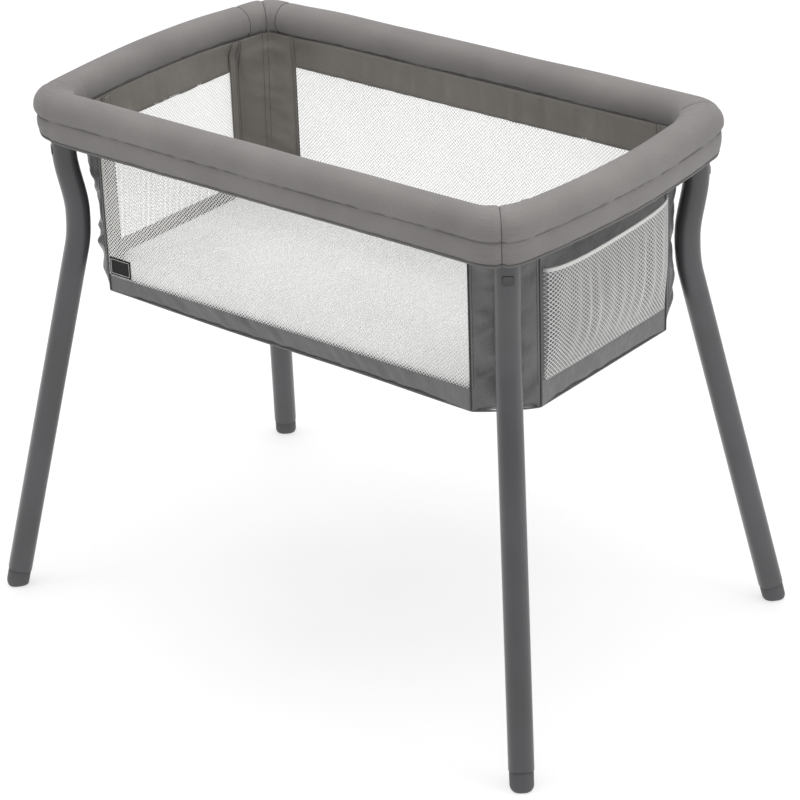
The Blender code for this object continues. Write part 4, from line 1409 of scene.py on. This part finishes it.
# How far out from the leg's centre line, and how much smaller the outline is there
BUTTON_LEVELS = (
    (0.0125, 0), (0.0136, 0), (0.0180, 0), (0.0183, 0.0003), (0.01845, 0.0010), (0.0182, 0.0022)
)
for corner, (sx, sy) in CORNERS.items():
    place = leg_frame(sx, sy)
    outer = [leg_ring(place, LEG_HALF, *station) for station in LEG_LINE]
    inner = [leg_ring(place, LEG_INSIDE, *station) for station in LEG_LINE]
    tube_mesh = pipe_mesh(f"leg_tube_{corner}", outer, inner)
    tube = place_piece(f"leg_tube_{corner}", tube_mesh, f"leg_{corner}", "leg_paint", leg_paint)
    cutter_mesh = plate("cutter", place, *WINDOW, ((0.002, 0), (0.022, 0)))
    cutter = place_piece("cutter", cutter_mesh, f"leg_{corner}", "leg_paint", leg_paint)
    cut = tube.modifiers.new("button window", "BOOLEAN")
    cut.object = cutter
    cut.operation = "DIFFERENCE"
    cut.solver = "EXACT"
    apply_all(tube)
    bpy.data.objects.remove(cutter)
    tube.data.shade_smooth()
    tube.data.set_sharp_from_angle(angle=math.radians(40))
    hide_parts(f"leg_{corner}")
    cap_mesh = plate(f"button_cap_{corner}", place, *BUTTON, BUTTON_LEVELS)
    cap = place_piece(f"button_cap_{corner}", cap_mesh, f"button_{corner}", "button_nylon", button_nylon)
    cap.data.set_sharp_from_angle(angle=math.radians(50))
    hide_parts(f"leg_button_{corner}")
print("four legs and their buttons")

# %% [markdown]
# ## Button springs
# A small steel coil behind each button pushes it out. The wire is swept along a helix inside the
# place that the CAD model keeps for it.

# %% Button springs
COIL_WIRE = 0.0004
COIL_TURNS = 6
STEPS_A_TURN = 16
for corner in CORNERS:
    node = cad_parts[f"button_spring_{corner}"]
    points = [node.matrix_world @ v.co for v in node.data.vertices]
    centre = sum(points, Vector()) / len(points)
    cap_low, cap_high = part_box(f"leg_button_{corner}")
    axis = (Vector(cap_low) + Vector(cap_high)) / 2 - centre
    axis.z = 0
    axis.normalize()
    aside, up = axis.cross(Vector((0, 0, 1))), Vector((0, 0, 1))
    reach = [(point - centre).dot(axis) for point in points]
    length = max(reach) - min(reach)
    radius = max((point - centre - axis * r).length for point, r in zip(points, reach)) - COIL_WIRE
    rows = []
    for i in range(COIL_TURNS * STEPS_A_TURN + 1):
        turn = 2 * math.pi * i / STEPS_A_TURN
        radial = aside * math.cos(turn) + up * math.sin(turn)
        along = min(reach) + COIL_WIRE + (length - 2 * COIL_WIRE) * i / (COIL_TURNS * STEPS_A_TURN)
        angles = [2 * math.pi * k / 6 for k in range(6)]
        rows.append([
            centre + radial * (radius + COIL_WIRE * math.cos(t)) + axis * (along + COIL_WIRE * math.sin(t))
            for t in angles
        ])
    name = f"button_coil_{corner}"
    coil = place_piece(name, grid_mesh(name, rows, tube=True), f"leg_{corner}", "fastener_steel", zinc_steel)
    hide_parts(f"button_spring_{corner}")
    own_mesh(coil)
    print(f"{name}: {length * 1000:.1f} mm long, {radius * 1000:.1f} mm in radius")

# %% [markdown]
# ## Foot caps
# A moulded cap plugs into each tube. It is a millimetre slimmer than the tube, so a fine step
# shows, and its edge rounds over to the flat face that stands on the floor.

# %% Foot caps
FOOT_HALF = 0.0168
PLUG_HALF = 0.0157
FOOT_EDGE_IN = 0.006
FOOT_EDGE_Z = 0.0066
# Half-width, height, and how far the ring turns square to the leaning leg
FOOT_PROFILE = [
    (PLUG_HALF, 0.0550, 1), (PLUG_HALF, 0.0267, 1), (0.0164, 0.0267, 1), (FOOT_HALF, 0.0262, 1),
    (FOOT_HALF, 0.0120, 1),
]
for i in range(1, 9):
    t = i / 8 * math.pi / 2
    half_width = FOOT_HALF - FOOT_EDGE_IN * (1 - math.cos(t))
    FOOT_PROFILE.append((half_width, FOOT_EDGE_Z * (1 - math.sin(t)), 0.9 * math.cos(t) ** 3))
for corner, (sx, sy) in CORNERS.items():
    place = leg_frame(sx, sy)
    rows = [
        leg_ring(place, half, straight_reach(height), height, -LEG_LEAN * share)
        for half, height, share in FOOT_PROFILE
    ]
    foot = place_piece(
        f"foot_cap_{corner}", grid_mesh(f"foot_cap_{corner}", rows, tube=True), f"leg_{corner}", "foot_rubber",
        foot_rubber,
    )
    foot.data.set_sharp_from_angle(angle=math.radians(50))
    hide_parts(f"foot_{corner}")
print("four foot caps")

# %% [markdown]
# ## Woven patch
# A small black patch is sewn over the foot of the front window, by its left-hand seam. It is left
# plain, with a thin pale line inside its edge. It is a small sheet, so it is made like the walls.

# %% Patch
patch_low, patch_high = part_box("label")
patch_x = (patch_low.x + 0.006, patch_high.x + 0.016)
patch_z = (patch_low.z + 0.014, patch_high.z + 0.015)
PATCH_STEPS = (12, 10)
patch_rows = []
for i in range(PATCH_STEPS[0] + 1):
    x = patch_x[0] + (patch_x[1] - patch_x[0]) * i / PATCH_STEPS[0]
    row = []
    for k in range(PATCH_STEPS[1] + 1):
        z = patch_z[0] + (patch_z[1] - patch_z[0]) * k / PATCH_STEPS[1]
        row.append(Vector((x, patch_low.y + 0.0003 * wave_of(x * 90, z * 90, 0, 140), z)))
    patch_rows.append(row)
patch = place_piece(
    "woven_patch", grid_mesh("woven_patch", two_sided(patch_rows, 0.0008), tube=True), "frame", "label_tape",
    label_weave,
)
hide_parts("label")
edge = 0.0026
x0, x1 = patch_x[0] + edge, patch_x[1] - edge
z0, z1 = patch_z[0] + edge, patch_z[1] - edge
corners = [(x0, z0), (x1, z0), (x1, z1), (x0, z1), (x0, z0)]
outline = resample([Vector((x, patch_low.y - 0.0002, z)) for x, z in corners], 80)
place_piece(
    "patch_border", grid_mesh("patch_border", cord_rows(outline, 0.00035, 6), tube=True), "frame", "label_tape",
    pocket_tape,
)

# %% [markdown]
# ## CAD pieces that stay in view
# Tubes, brackets, screws and the board are shown as the CAD made them, because they are plain
# shapes that are mostly hidden. Each gets its own finish in place of the CAD colour.

# %% Finishes on CAD nodes
FINISHES = {
    "rail_front": zinc_steel, "rail_back": zinc_steel, "rail_left": zinc_steel, "rail_right": zinc_steel,
    "base_board": fibreboard,
}
for corner in CORNERS:
    FINISHES[f"corner_bracket_{corner}"] = bracket_nylon
    FINISHES[f"foot_screw_{corner}"] = zinc_steel
for name, finish in FINISHES.items():
    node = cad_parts[name]
    node.data.materials.clear()
    node.data.materials.append(finish)
print(f"{len(FINISHES)} CAD nodes finished")

# %% [markdown]
# The box round the visible model is measured in metres and printed, and then the scene is finished.
# The visible model has to stay in the CAD model's box, apart from a little softness.

# %% Finish
low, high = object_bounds()
print("visible box", [round(v, 4) for v in (*low, *high)])
